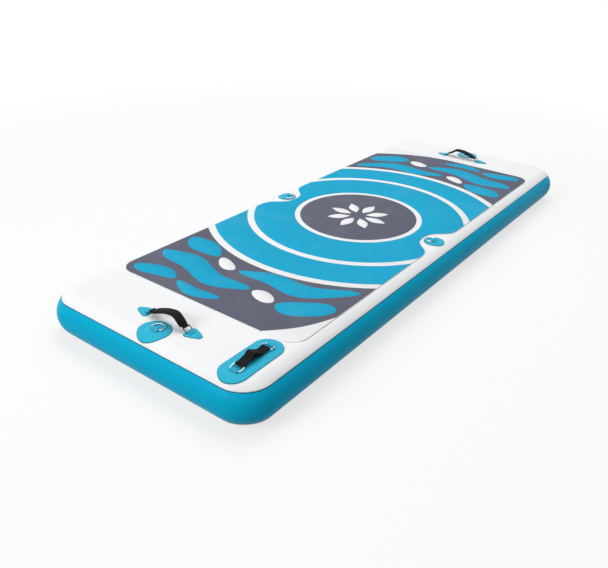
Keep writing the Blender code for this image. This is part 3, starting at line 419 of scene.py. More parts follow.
@dataclass(frozen=True)
class Moulded:
    """Moulded plastic or rubber."""

    slot: str
    word: str
    colour: Colour
    roughness: float
    grain: float = 0.6 * MM
    grain_depth: float = 0.06 * MM
    cloud: float = 18 * MM

    def material(self) -> Material:
        """Makes a fine moulded grain with slight clouds.

        Returns:
            The material.
        """
        board = Board(f"moulded_{self.slot}")
        grain = board.noise(self.grain, 3.0)
        tone = board.noise(self.cloud, 2.0) * 0.7 + grain * 0.3
        return board.finish(
            base_color=board.mix(tone, shaded(self.colour, 0.85), shaded(self.colour, 1.1)),
            roughness=grain * 0.16 + (self.roughness - 0.08),
            normal=board.relief(grain, self.grain_depth),
        )


@dataclass(frozen=True)
class Pile:
    """The hooks or loops of a closure pad."""

    slot: str
    word: str
    colour: Colour
    tuft: float
    relief: float
    fuzz: float = 0.4 * MM

    def material(self) -> Material:
        """Makes close rows of tufts, with painted shade between them and painted light on their
        tops.

        Returns:
            The material.
        """
        board = Board(f"pile_{self.word}")
        tufts = board.cells(self.tuft).above(0.22, 0.35)
        fuzz = board.noise(self.fuzz, 3.0)
        # Painted shade between the tufts and painted light on their tops.
        return board.finish(
            base_color=board.mix(tufts, shaded(self.colour, 0.4), shaded(self.colour, 1.6)),
            roughness=fuzz * 0.1 + 0.82,
            normal=board.relief(tufts * 0.8 + fuzz * 0.2, self.relief),
            specular_ior_level=0.3,
        )


class Finish(Enum):
    """Every finish on the mat."""

    WHITE_SKIN = CoatedFabric("white_skin", "fabric", (0.915, 0.930, 0.938), 0.42)
    TEAL_SKIN = CoatedFabric("teal_skin", "fabric", (0.004, 0.455, 0.720), 0.36, gloss=0.025)
    # The weld's dark teal is painted shade: the shadow line just below a skin's edge.
    WELD_SHADE = CoatedFabric("teal_skin", "weld", (0.012, 0.190, 0.290), 0.34)
    PATCH = CoatedFabric("patch_teal", "patch", (0.034, 0.480, 0.680), 0.42, gloss=0.06)
    WHITE_FOAM = DeckFoam("white_foam", "foam", (0.925, 0.935, 0.94), 0.96)
    TEAL_FOAM = DeckFoam("teal_foam", "foam", (0.008, 0.425, 0.690))
    GREY_FOAM = DeckFoam("grey_foam", "foam", (0.132, 0.137, 0.190))
    ANCHOR = Webbing(
        "anchor_teal", "tape", (0.030, 0.450, 0.650), relief=0.10 * MM, roughness=0.6, coat=0.04
    )
    BLACK_TAPE = Webbing("black_webbing", "webbing", (0.0055, 0.0052, 0.0075))
    BLACK_CLOTH = Webbing(
        "black_webbing", "cloth", (0.0060, 0.0055, 0.0080), 0.8 * MM, 0.7 * MM, 0.10 * MM, 0.7
    )
    BLACK_THREAD = Webbing(
        "black_webbing", "thread", (0.016, 0.016, 0.018), 0.5 * MM, 0.5 * MM, 0.05 * MM, 0.6
    )
    TEAL_THREAD = Webbing(
        "anchor_teal", "thread", (0.060, 0.420, 0.560), 0.5 * MM, 0.5 * MM, 0.05 * MM, 0.6
    )
    BLACK_WIRE = Metal("black_wire", "wire", (0.016, 0.016, 0.018), 0.0, 0.34)
    STEEL = Metal("steel", "steel", (0.62, 0.64, 0.67), 1.0, 0.22)
    YARN = Webbing("yarn", "yarn", (0.80, 0.80, 0.76), 0.6 * MM, 0.6 * MM, 0.05 * MM, 0.8)
    VALVE = Moulded("valve_plastic", "plastic", (0.33, 0.35, 0.38), 0.42)
    RUBBER = Moulded("rubber", "rubber", (0.02, 0.02, 0.02), 0.75)
    HOOKS = Pile("black_webbing", "hooks", (0.014, 0.014, 0.016), 1.1 * MM, 0.5 * MM)
    LOOPS = Pile("black_webbing", "loops", (0.018, 0.018, 0.020), 1.9 * MM, 0.35 * MM)


MATERIALS: dict[Finish, Material] = {}


def material_of(finish: Finish) -> Material:
    """Looks a finish's material up, and makes it at its first use.

    Args:
        finish: The finish.

    Returns:
        Its material.
    """
    if finish not in MATERIALS:
        MATERIALS[finish] = finish.value.material()
    return MATERIALS[finish]


# Shapes


class Route:
    """A line that a strip or wire follows, with the direction of its width."""

    def __init__(
        self, points: Iterable[Sequence[float]], side: Sequence[float], closed: bool = False
    ) -> None:
        """Measures the line.

        Args:
            points: The places along the line.
            side: The direction across the strip.
            closed: Whether the last place is the first one again.
        """
        self.points = [Vector(point) for point in points]
        self.side = Vector(side).normalized()
        self.closed = closed
        self.marks = [0.0]
        for before, after in zip(self.points, self.points[1:]):
            self.marks.append(self.marks[-1] + (after - before).length)
        last = len(self.points) - 1
        self.ways = [
            (self.points[min(index + 1, last)] - self.points[max(index - 1, 0)]).normalized()
            for index in range(last + 1)
        ]
        if closed:
            self.ways[0] = self.ways[last] = (self.points[1] - self.points[last - 1]).normalized()

    @property
    def length(self) -> float:
        """The line's whole length."""
        return self.marks[-1]

    def frame(self, distance: float) -> Matrix:
        """Finds the frame at a place on the line.

        Args:
            distance: How far along the line it lies.

        Returns:
            The frame: x across the strip, y off its face, z along it.
        """
        distance = min(max(distance, 0.0), self.length)
        last = len(self.marks) - 1
        index = next((i for i in range(1, last + 1) if self.marks[i] >= distance), last)
        share = (distance - self.marks[index - 1]) / (self.marks[index] - self.marks[index - 1])
        place = self.points[index - 1].lerp(self.points[index], share)
        way = self.ways[index - 1].lerp(self.ways[index], share).normalized()
        off = way.cross(self.side).normalized()
        return Matrix.Translation(place) @ Matrix((self.side, off, way)).transposed().to_4x4()

    def moved(self, place: Matrix) -> "Route":
        """The same line in another frame."""
        points = [place @ point for point in self.points]
        return Route(points, place.to_3x3() @ self.side, self.closed)


def arc(centre: Point, radius: float, start: float, end: float, steps: int) -> list[Point]:
    """Draws an arc.

    Args:
        centre: Its centre.
        radius: Its radius.
        start: The angle of its first point, in degrees.
        end: The angle of its last point.
        steps: How many steps it has.

    Returns:
        Its points.
    """
    turns = [math.radians(start + (end - start) * step / steps) for step in range(steps + 1)]
    x, y = centre
    return [(x + radius * math.cos(turn), y + radius * math.sin(turn)) for turn in turns]


def circle(radius: float, steps: int, centre: Point = (0.0, 0.0)) -> list[Point]:
    """Points round a circle."""
    return arc(centre, radius, 0.0, 360.0, steps)[:-1]


def smoothed(points: Sequence[Point], steps: int) -> list[Point]:
    """A smooth curve through flat points.

    Args:
        points: The places that it passes.
        steps: How many steps lie between two places.

    Returns:
        The finer row of points.
    """
    padded = [points[0], *points, points[-1]]
    route = [points[0]]
    for index in range(1, len(padded) - 2):
        near = padded[index - 1 : index + 3]
        for step in range(1, steps + 1):
            t = step / steps
            weights = (
                (-t + 2 * t**2 - t**3) / 2,
                (2 - 5 * t**2 + 3 * t**3) / 2,
                (t + 4 * t**2 - 3 * t**3) / 2,
                (t**3 - t**2) / 2,
            )
            rows = [(weight * x, weight * y) for weight, (x, y) in zip(weights, near)]
            route.append(tuple(sum(column) for column in zip(*rows)))
    return route


def rounded(corners: Sequence[Sequence[float]], steps: int) -> list[Point]:
    """A polygon with round corners.

    Args:
        corners: Each corner's x, y and radius, turning left.
        steps: How many steps each rounding has.

    Returns:
        Its outline.
    """
    points = []
    for index, (x, y, radius) in enumerate(corners):
        here = Vector((x, y))
        back = (Vector(corners[index - 1][:2]) - here).normalized()
        ahead = (Vector(corners[(index + 1) % len(corners)][:2]) - here).normalized()
        half = back.angle(ahead) / 2
        centre = here + (back + ahead).normalized() * radius / math.sin(half)
        first = here + back * radius / math.tan(half) - centre
        start = math.degrees(math.atan2(first.y, first.x))
        points += arc(tuple(centre), radius, start, start + 180.0 - math.degrees(half) * 2, steps)
    return points


def offset(route: Sequence[Point], distances: Sequence[float]) -> list[Point]:
    """Moves each point of a flat route to its left.

    Args:
        route: The points.
        distances: How far each one moves.

    Returns:
        The moved points.
    """
    moved = []
    for index, (x, y) in enumerate(route):
        x0, y0 = route[max(index - 1, 0)]
        x1, y1 = route[min(index + 1, len(route) - 1)]
        length, far = math.hypot(x1 - x0, y1 - y0), distances[index]
        moved.append((x - (y1 - y0) / length * far, y + (x1 - x0) / length * far))
    return moved


def flat_section(width: float, thickness: float) -> list[Point]:
    """The section of a tape with round edges.

    Args:
        width: Its whole width.
        thickness: Its thickness.

    Returns:
        The points round it.
    """
    half = width / 2 - thickness / 2
    rows = [half - 2 * half * step / 6 for step in range(1, 6)]
    top = [(x, thickness / 2) for x in rows]
    bottom = [(x, -thickness / 2) for x in reversed(rows)]
    right = arc((half, 0.0), thickness / 2, -90.0, 90.0, 4)
    left = arc((-half, 0.0), thickness / 2, 90.0, 270.0, 4)
    return right + top + left + bottom


def powered(value: float, power: float) -> float:
    """A number's power, with the number's sign."""
    return math.copysign(abs(value) ** power, value)


def bean_section(width: float, thickness: float, boxiness: float, fullness: float) -> list[Point]:
    """The section of a padded sleeve: a flat oval with full sides.

    Args:
        width: Its whole width.
        thickness: Its thickness.
        boxiness: The power of its curve across, where 2 is round.
        fullness: The power of its curve up.

    Returns:
        The points round it.
    """
    points = []
    for turn in angles(36):
        across, up = powered(math.cos(turn), 2 / boxiness), powered(math.sin(turn), 2 / fullness)
        points.append((across * width / 2, up * thickness / 2))
    return points


def angles(count: int) -> list[float]:
    """Even angles round a turn, in radians."""
    return [math.tau * index / count for index in range(count)]


def swelling(place: float, height: float, middle: float, width: float) -> float:
    """The height at a place of a smooth hump of this height and width."""
    return height * math.exp(-(((place - middle) / width) ** 2))


def half_turned(points: Sequence[Point]) -> list[Point]:
    """An outline turned half way round the mat's middle."""
    return [(-x, -y) for x, y in points]


def oblong(half: float, run: float, tight: float) -> list[Point]:
    """The line of a bent wire ring: from the middle of its bar, round four bends and back.

    Args:
        half: Half the bar's length.
        run: How far the ring reaches from its bar.
        tight: The radius of each bend.

    Returns:
        The points.
    """
    line = [(0.0, 0.0)]
    far = run - tight
    for side, y, start in ((1, tight, -90.0), (1, far, 0.0), (-1, far, 90.0), (-1, tight, 180.0)):
        line += arc((side * (half - tight), y), tight, start, start + 90.0, 6)
    return [*line, (0.0, 0.0)]


def layer(shape: BMesh, name: str) -> BMLayerItem:
    """A number that the shape holds at each point."""
    layers = shape.verts.layers.float
    return layers.get(name) or layers.new(name)


def tape_shape() -> BMesh:
    """Starts a shape that holds the two places of a tape's pattern.

    Returns:
        The empty shape.
    """
    shape = bmesh.new()
    for name in ("along", "across"):
        layer(shape, name)
    return shape


def only(items: Iterable[object], kind: type) -> list:
    """The items of one kind among those that an operator gives."""
    return [item for item in items if isinstance(item, kind)]


def grow(shape: BMesh, edges: Sequence[BMEdge]) -> tuple[list[BMVert], list[BMEdge]]:
    """Extrudes a row of edges.

    Args:
        shape: The shape that grows.
        edges: The row.

    Returns:
        The new points, and the new row of edges.
    """
    grown = bmesh.ops.extrude_edge_only(shape, edges=edges)["geom"]
    verts = only(grown, BMVert)
    fresh = set(verts)
    return verts, [edge for edge in only(grown, BMEdge) if set(edge.verts) <= fresh]


def sweep(
    shape: BMesh, route: Route, section: Section, spacing: float, capped: bool = True
) -> tuple[list[BMEdge], list[BMEdge]]:
    """Extrudes a section along a route.

    Args:
        shape: The shape that grows.
        route: The line that it follows.
        section: Gives the section's points at a share of the length.
        spacing: The distance between two stations.
        capped: Whether both ends are closed.

    Returns:
        The edges at the start and at the end.
    """
    along, across = layer(shape, "along"), layer(shape, "across")
    count = max(2, round(route.length / spacing))
    ring = [shape.verts.new((0.0, 0.0, 0.0)) for _ in section(0.0)]
    start = edges = [shape.edges.new(pair) for pair in zip(ring, ring[1:] + ring[:1])]
    for step in range(count + 1):
        if step:
            verts, edges = grow(shape, edges)
            fresh = set(verts)
            nearby = [edge.other_vert(old) for old in ring for edge in old.link_edges]
            ring = [vert for vert in nearby if vert in fresh]
        share = step / count
        place = route.frame(route.length * share)
        for vert, (x, y) in zip(ring, section(share)):
            vert.co = place @ Vector((x, y, 0.0))
            vert[along] = route.length * share
            vert[across] = x
        if step == 0:
            first_ring = list(ring)
    if route.closed:
        bmesh.ops.remove_doubles(shape, verts=first_ring + ring, dist=0.02 * MM)
    elif capped:
        shape.faces.new(first_ring)
        shape.faces.new(ring)
    return start, edges


def lay_tape(
    node: str, finish: Finish, body: str, route: Route, section: Sequence[Point], spacing: float
) -> None:
    """Makes a piece that has one section all along a route.

    Args:
        node: The node that it stands for.
        finish: What it is made of.
        body: The body that it rides on.
        route: Its line.
        section: Its section.
        spacing: The distance between two stations.
    """
    shape = bmesh.new()
    sweep(shape, route, lambda share: section, spacing)
    publish(shape, node, finish, body, [node], TAPE_SHARP)


def turn_profile(shape: BMesh, profile: Sequence[Point], steps: int, place: Matrix) -> None:
    """Spins a profile of (radius, height) points about its own Z axis.

    Args:
        shape: The shape that grows.
        profile: The points, from one end to the other.
        steps: How many steps the full turn has.
        place: The frame that the piece stands in.
    """
    verts = [shape.verts.new((radius, 0.0, height)) for radius, height in profile]
    edges = [shape.edges.new(pair) for pair in zip(verts, verts[1:])]
    bmesh.ops.spin(
        shape,
        geom=[*verts, *edges],
        cent=(0.0, 0.0, 0.0),
        axis=(0.0, 0.0, 1.0),
        angle=math.tau,
        steps=steps,
        use_merge=True,
    )
    bmesh.ops.remove_doubles(shape, verts=shape.verts, dist=0.01 * MM)
    bmesh.ops.transform(shape, matrix=place, verts=shape.verts)


def loop(shape: BMesh, points: Sequence[Point]) -> list[BMEdge]:
    """Draws a closed flat outline."""
    verts = [shape.verts.new((x, y, 0.0)) for x, y in points]
    return [shape.edges.new(pair) for pair in zip(verts, verts[1:] + verts[:1])]


def fill(shape: BMesh, *outlines: Sequence[Point]) -> None:
    """Fills a flat outline, with the outlines inside it left as holes."""
    edges = [edge for points in outlines for edge in loop(shape, points)]
    bmesh.ops.triangle_fill(shape, use_beauty=True, edges=edges, normal=(0.0, 0.0, 1.0))


def thicken(
    shape: BMesh, low: float, high: float, rounding: float, segments: int = 2
) -> None:
    """Gives flat faces a thickness, with a rounded upper rim.

    Args:
        shape: The flat shape.
        low: The height of its underside.
        high: The height of its top.
        rounding: The size of the rim's rounding.
        segments: How many steps the rounding has.
    """
    raised = bmesh.ops.extrude_face_region(shape, geom=list(shape.faces))["geom"]
    top = set(only(raised, BMFace))
    bmesh.ops.translate(shape, verts=only(raised, BMVert), vec=(0.0, 0.0, high - low))
    bmesh.ops.translate(shape, verts=shape.verts, vec=(0.0, 0.0, low))
    rim = [edge for edge in shape.edges if sum(face in top for face in edge.link_faces) == 1]
    bmesh.ops.bevel(
        shape,
        geom=rim,
        offset=rounding,
        offset_type="OFFSET",
        segments=segments,
        profile=0.5,
        affect="EDGES",
        material=-1,
        clamp_overlap=True,
    )


def publish(
    shape: BMesh,
    name: str,
    finish: Finish,
    body: str,
    replaces: Sequence[str] = (),
    sharp: float = 40.0,
    wall: float = 0.0,
    outward: Optional[Callable[[BMFace], bool]] = None,
) -> Object:
    """Makes a finished piece of a shape.

    Args:
        shape: The shape, which is used up.
        name: The piece's name, before its finish's word.
        finish: What it is made of.
        body: The body that it rides on.
        replaces: The nodes that it stands for.
        sharp: The angle in degrees above which an edge stays sharp.
        wall: The thickness that an open shell is given, inwards.
        outward: Says whether a shell's largest face points out.

    Returns:
        The piece.
    """
    bmesh.ops.recalc_face_normals(shape, faces=shape.faces)
    if outward:
        right_way = outward(max(shape.faces, key=lambda face: face.calc_area()))
    else:
        right_way = shape.calc_volume(signed=True) > 0.0
    if not right_way:
        bmesh.ops.reverse_faces(shape, faces=shape.faces)
    full_name = f"{name}_{finish.value.word}"
    mesh = bpy.data.meshes.new(full_name)
    shape.to_mesh(mesh)
    shape.free()
    mesh.shade_smooth()
    mesh.set_sharp_from_angle(angle=math.radians(sharp))
    mesh.materials.append(material_of(finish))
    piece = bpy.data.objects.new(full_name, mesh)
    bpy.context.scene.collection.objects.link(piece)
    if wall:
        solid = piece.modifiers.new("wall", "SOLIDIFY")
        solid.thickness = wall
        solid.offset = -1.0
        solid.use_even_offset = True
    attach(piece, body)
    if replaces:
        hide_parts(*replaces)
    LOG.info("%s on %s, %d faces", full_name, body, len(mesh.polygons))
    return piece


@dataclass(frozen=True)
class Stitching:
    """Sewn thread on a tape's face."""

    pitch: float = 3.0 * MM
    length: float = 2.3 * MM
    width: float = 0.7 * MM
    height: float = 0.35 * MM

    def line(self, shape: BMesh, route: Route, start: Point, end: Point, off: Off) -> None:
        """Sews a straight row.

        Args:
            shape: The shape that the stitches join.
            route: The tape's line.
            start: Where the row begins, across and along the tape.
            end: Where it ends.
            off: The height of the face above the tape's middle, or what gives it along the tape.
        """
        run = math.hypot(end[0] - start[0], end[1] - start[1])
        turn = math.atan2(end[0] - start[0], end[1] - start[1])
        count = max(1, round(run / self.pitch))
        size = Matrix.Diagonal((self.width / 2, self.height / 2, self.length / 2, 1.0))
        for index in range(count):
            share = (index + 0.5) / count
            across = start[0] + (end[0] - start[0]) * share
            along = start[1] + (end[1] - start[1]) * share
            height = off(along) if callable(off) else off
            spot = route.frame(along) @ Matrix.Translation((across, height, 0.0))
            spot = spot @ Matrix.Rotation(turn, 4, "Y") @ size
            bmesh.ops.create_icosphere(shape, subdivisions=1, radius=1.0, matrix=spot)

    def box(
        self, shape: BMesh, route: Route, half: float, start: float, end: float, off: float
    ) -> None:
        """Sews a box with a cross in it.

        Args:
            shape: The shape that the stitches join.
            route: The tape's line.
            half: Half the box's width.
            start: Where it begins along the tape.
            end: Where it ends.
            off: The height of the face above the tape's middle.
        """
        corners = [(-half, start), (half, start), (half, end), (-half, end)]
        for first, second in zip(corners, corners[1:] + corners[:1]):
            self.line(shape, route, first, second, off)
        self.line(shape, route, corners[0], corners[2], off)
        self.line(shape, route, corners[1], corners[3], off)


# Hull


@dataclass
class Hull:
    """The air-filled body: two white skins, the teal side wall and the threads between."""

    half_length: float = 1220 * MM
    half_width: float = 455 * MM
    thickness: float = 150 * MM
    corner: float = 120 * MM
    skin: float = 1.2 * MM
    seam_angle: float = 48.0
    lap_angle: float = 14.0
    lap_rise: float = 0.35 * MM
    lap_softness: float = 0.7
    corner_steps: int = 20
    side_steps: int = 24
    shoulder_steps: int = 26
    wall_steps: int = 36
    face_inset: float = 6 * MM
    pucker_depth: float = 0.55 * MM
    pucker_pitch: float = 4.2
    pucker_reach: float = 9.0
    weld_angle: float = 2.1
    weld_space: float = 0.25
    weld_rise: float = 0.55 * MM
    weld_seat: float = 0.1 * MM
    weld_root: float = 0.5 * MM
    weld_steps: int = 8
    thread_pitch: float = 20 * MM
    thread_radius: float = 0.35 * MM
    thread_sides: int = 3
    valve_place: Triple = (-220 * MM, 1220 * MM, 75 * MM)
    valve_hole: float = 30 * MM
    hole_sides: int = 96

    @property
    def shoulder(self) -> float:
        """The radius of the round edge, at the skins."""
        return self.thickness / 2

    @property
    def wall_radius(self) -> float:
        """The radius of the round edge, at the side wall."""
        return self.shoulder - self.skin - GAP

    @property
    def flat(self) -> Triple:
        """The flat deck's half width, half length and corner radius."""
        radius = self.wall_radius
        return self.half_width - radius, self.half_length - radius, self.corner - radius

    def drop(self, x: float, y: float) -> float:
        """Finds how far the skin lies below the deck's flat.

        Args:
            x: The place's x.
            y: Its y.

        Returns:
            The depth.
        """
        wide, long, radius = self.flat
        across, along = abs(x) - (wide - radius), abs(y) - (long - radius)
        inside = min(max(across, along), 0.0)
        beyond = math.hypot(max(across, 0.0), max(along, 0.0)) + inside - radius
        if beyond <= 0.0:
            return 0.0
        return self.shoulder - math.sqrt(max(self.shoulder**2 - beyond**2, 0.0))

    def carry_round(self, profile: Sequence[Point]) -> BMesh:
        """Carries a profile of (outward, height) points round the deck's flat.

        Args:
            profile: The points.

        Returns:
            The open shell.
        """
        shape = bmesh.new()
        wide, long, radius = self.flat
        verts = [shape.verts.new((wide + out, radius - long, height)) for out, height in profile]
        edges = [shape.edges.new(pair) for pair in zip(verts, verts[1:])]
        corners = [(wide, long), (-wide, long), (-wide, -long), (wide, -long)]
        for index, (x, y) in enumerate(corners):
            lengthways = index % 2 == 0
            run = 2 * ((long if lengthways else wide) - radius)
            steps = self.side_steps * 2 if lengthways else self.side_steps
            way = Matrix.Rotation(math.pi / 2 * index, 3, "Z") @ Vector((0.0, run / steps, 0.0))
            for _ in range(steps):
                verts, edges = grow(shape, edges)
                bmesh.ops.translate(shape, verts=verts, vec=way)
            spun = bmesh.ops.spin(
                shape,
                geom=[*verts, *edges],
                cent=(x - math.copysign(radius, x), y - math.copysign(radius, y), 0.0),
                axis=(0.0, 0.0, 1.0),
                angle=math.pi / 2,
                steps=self.corner_steps,
            )["geom_last"]
            verts, edges = only(spun, BMVert), only(spun, BMEdge)
        bmesh.ops.remove_doubles(shape, verts=shape.verts, dist=0.05 * MM)
        return shape

    def pucker(self, shape: BMesh) -> None:
        """Gathers the cloth slightly along the seams where they turn a corner.

        Args:
            shape: The cloth's shape.
        """
        wide, long, radius = self.flat
        for vert in shape.verts:
            x, y = abs(vert.co.x) - (wide - radius), abs(vert.co.y) - (long - radius)
            if x <= 0.0 or y <= 0.0:
                continue
            turn = math.degrees(math.atan2(y, x))
            height = vert.co.z - self.thickness / 2
            tilt = math.degrees(math.asin(max(-1.0, min(1.0, height / self.shoulder))))
            depth = swelling(abs(tilt), self.pucker_depth, self.seam_angle, self.pucker_reach)
            depth *= math.sin(math.radians(turn * 2)) ** 0.5
            out = Vector((math.copysign(x, vert.co.x), math.copysign(y, vert.co.y), height))
            vert.co += out.normalized() * math.sin(math.tau * turn / self.pucker_pitch) * depth

    def skin_profile(self, sign: int) -> list[Point]:
        """Draws the skin's section from the flat to the seam, with the lap's soft ridge.

        Args:
            sign: 1 for the top, -1 for the bottom.

        Returns:
            The (outward, height) points.
        """
        points = []
        lap_edge = self.seam_angle + self.lap_angle
        for step in range(self.shoulder_steps + 1):
            angle = 90.0 - (90.0 - self.seam_angle) * step / self.shoulder_steps
            rise = 1.0 / (1.0 + math.exp((angle - lap_edge) / self.lap_softness))
            radius = self.shoulder + self.lap_rise * rise
            turn = math.radians(angle)
            height = self.thickness / 2 + sign * radius * math.sin(turn)
            points.append((radius * math.cos(turn), height))
        return points

    def make_skin(self, node: str, sign: int) -> None:
        """Makes the top or bottom skin.

        Args:
            node: The node that it stands for.
            sign: 1 for the top, -1 for the bottom.
        """
        shape = self.carry_round(self.skin_profile(sign))
        face_height = self.thickness / 2 + sign * self.shoulder
        level = {vert for vert in shape.verts if abs(vert.co.z - face_height) < 0.01 * MM}
        rim = [edge for edge in shape.edges if edge.is_boundary and set(edge.verts) <= level]
        cap = bmesh.ops.contextual_create(shape, geom=rim)["faces"]
        bmesh.ops.inset_region(shape, faces=cap, thickness=self.face_inset, use_even_offset=True)
        self.pucker(shape)
        publish(
            shape,
            node,
            Finish.WHITE_SKIN,
            "root",
            [node],
            SHEET_SHARP,
            self.skin,
            lambda face: face.normal.z * sign > 0.0,
        )

    def make_wall(self) -> None:
        """Makes the side wall, with the valve's hole in its far end."""
        limit = self.seam_angle + self.lap_angle
        bulge = arc((0.0, 0.0), self.wall_radius, limit, -limit, self.wall_steps)
        shape = self.carry_round([(x, y + self.thickness / 2) for x, y in bulge])
        self.pucker(shape)
        wall = publish(
            shape,
            "side_wall",
            Finish.TEAL_SKIN,
            "root",
            ["side_wall"],
            SHEET_SHARP,
            self.skin,
            lambda face: face.normal.xy.dot(face.calc_center_median().xy) > 0.0,
        )
        cutter_shape = bmesh.new()
        place = Matrix.Translation(self.valve_place) @ Matrix.Rotation(-math.pi / 2, 4, "X")
        bmesh.ops.create_cone(
            cutter_shape,
            cap_ends=True,
            segments=self.hole_sides,
            radius1=self.valve_hole,
            radius2=self.valve_hole,
            depth=self.thickness,
            matrix=place,
        )
        cut(wall, cutter_shape)

    def make_weld(self, name: str, sign: int) -> None:
        """Makes the pressed weld line just below a skin's edge; its dark teal is painted shade
        under that edge.

        Args:
            name: The piece's name.
            sign: 1 for the upper seam, -1 for the lower.
        """
        outer, inner = [], []
        for step in range(self.weld_steps + 1):
            share = step / self.weld_steps
            angle = self.seam_angle - self.weld_space - self.weld_angle * share
            turn = math.radians(sign * angle)
            swell = self.weld_rise * math.sin(math.pi * share) ** 0.6
            for row, away in ((outer, swell - self.weld_seat), (inner, -self.weld_root)):
                radius = self.wall_radius + away
                row.append((radius * math.cos(turn), self.thickness / 2 + radius * math.sin(turn)))
        shape = self.carry_round([*outer, *reversed(inner), outer[0]])
        self.pucker(shape)
        publish(shape, name, Finish.WELD_SHADE, "root", [], TAPE_SHARP)

    def make_threads(self) -> None:
        """Makes the field of threads that holds the skins parallel."""
        shape = bmesh.new()
        wide, long, _ = self.flat
        pitch = self.thread_pitch
        columns, rows = int(wide / pitch), int(long / pitch)
        bmesh.ops.create_cone(
            shape,
            cap_ends=True,
            segments=self.thread_sides,
            radius1=self.thread_radius,
            radius2=self.thread_radius,
            depth=self.thickness - 2 * self.skin - 2 * GAP,
            matrix=Matrix.Translation((-columns * pitch, -rows * pitch, self.thickness / 2)),
        )
        piece = publish(shape, "drop_threads", Finish.YARN, "root", ["drop_thread"])
        arrays = (("across", columns, (pitch, 0, 0)), ("along", rows, (0, pitch, 0)))
        for name, count, way in arrays:
            copies = piece.modifiers.new(name, "ARRAY")
            copies.count = 2 * count + 1
            copies.use_relative_offset = False
            copies.use_constant_offset = True
            copies.constant_offset_displace = way

    def build(self) -> None:
        """Makes the whole hull."""
        self.make_skin("top_skin", 1)
        self.make_skin("bottom_skin", -1)
        self.make_wall()
        self.make_weld("upper_seam", 1)
        self.make_weld("lower_seam", -1)
        self.make_threads()


def cut(piece: Object, cutter_shape: BMesh) -> None:
    """Cuts a hole in a piece, and keeps the result as its mesh.

    Args:
        piece: The piece.
        cutter_shape: The hole's solid, which is used up.
    """
    mesh = bpy.data.meshes.new("hole")
    cutter_shape.to_mesh(mesh)
    cutter_shape.free()
    cutter = bpy.data.objects.new("hole", mesh)
    bpy.context.scene.collection.objects.link(cutter)
    modifier = piece.modifiers.new("hole", "BOOLEAN")
    modifier.operation = "DIFFERENCE"
    modifier.solver = "EXACT"
    modifier.object = cutter
    bpy.context.view_layer.update()
    graph = bpy.context.evaluated_depsgraph_get()
    result = bpy.data.meshes.new_from_object(piece.evaluated_get(graph))
    piece.modifiers.clear()
    piece.data = result
    result.shade_smooth()
    result.set_sharp_from_angle(angle=math.radians(SHEET_SHARP))
    bpy.data.objects.remove(cutter)


# Deck pad


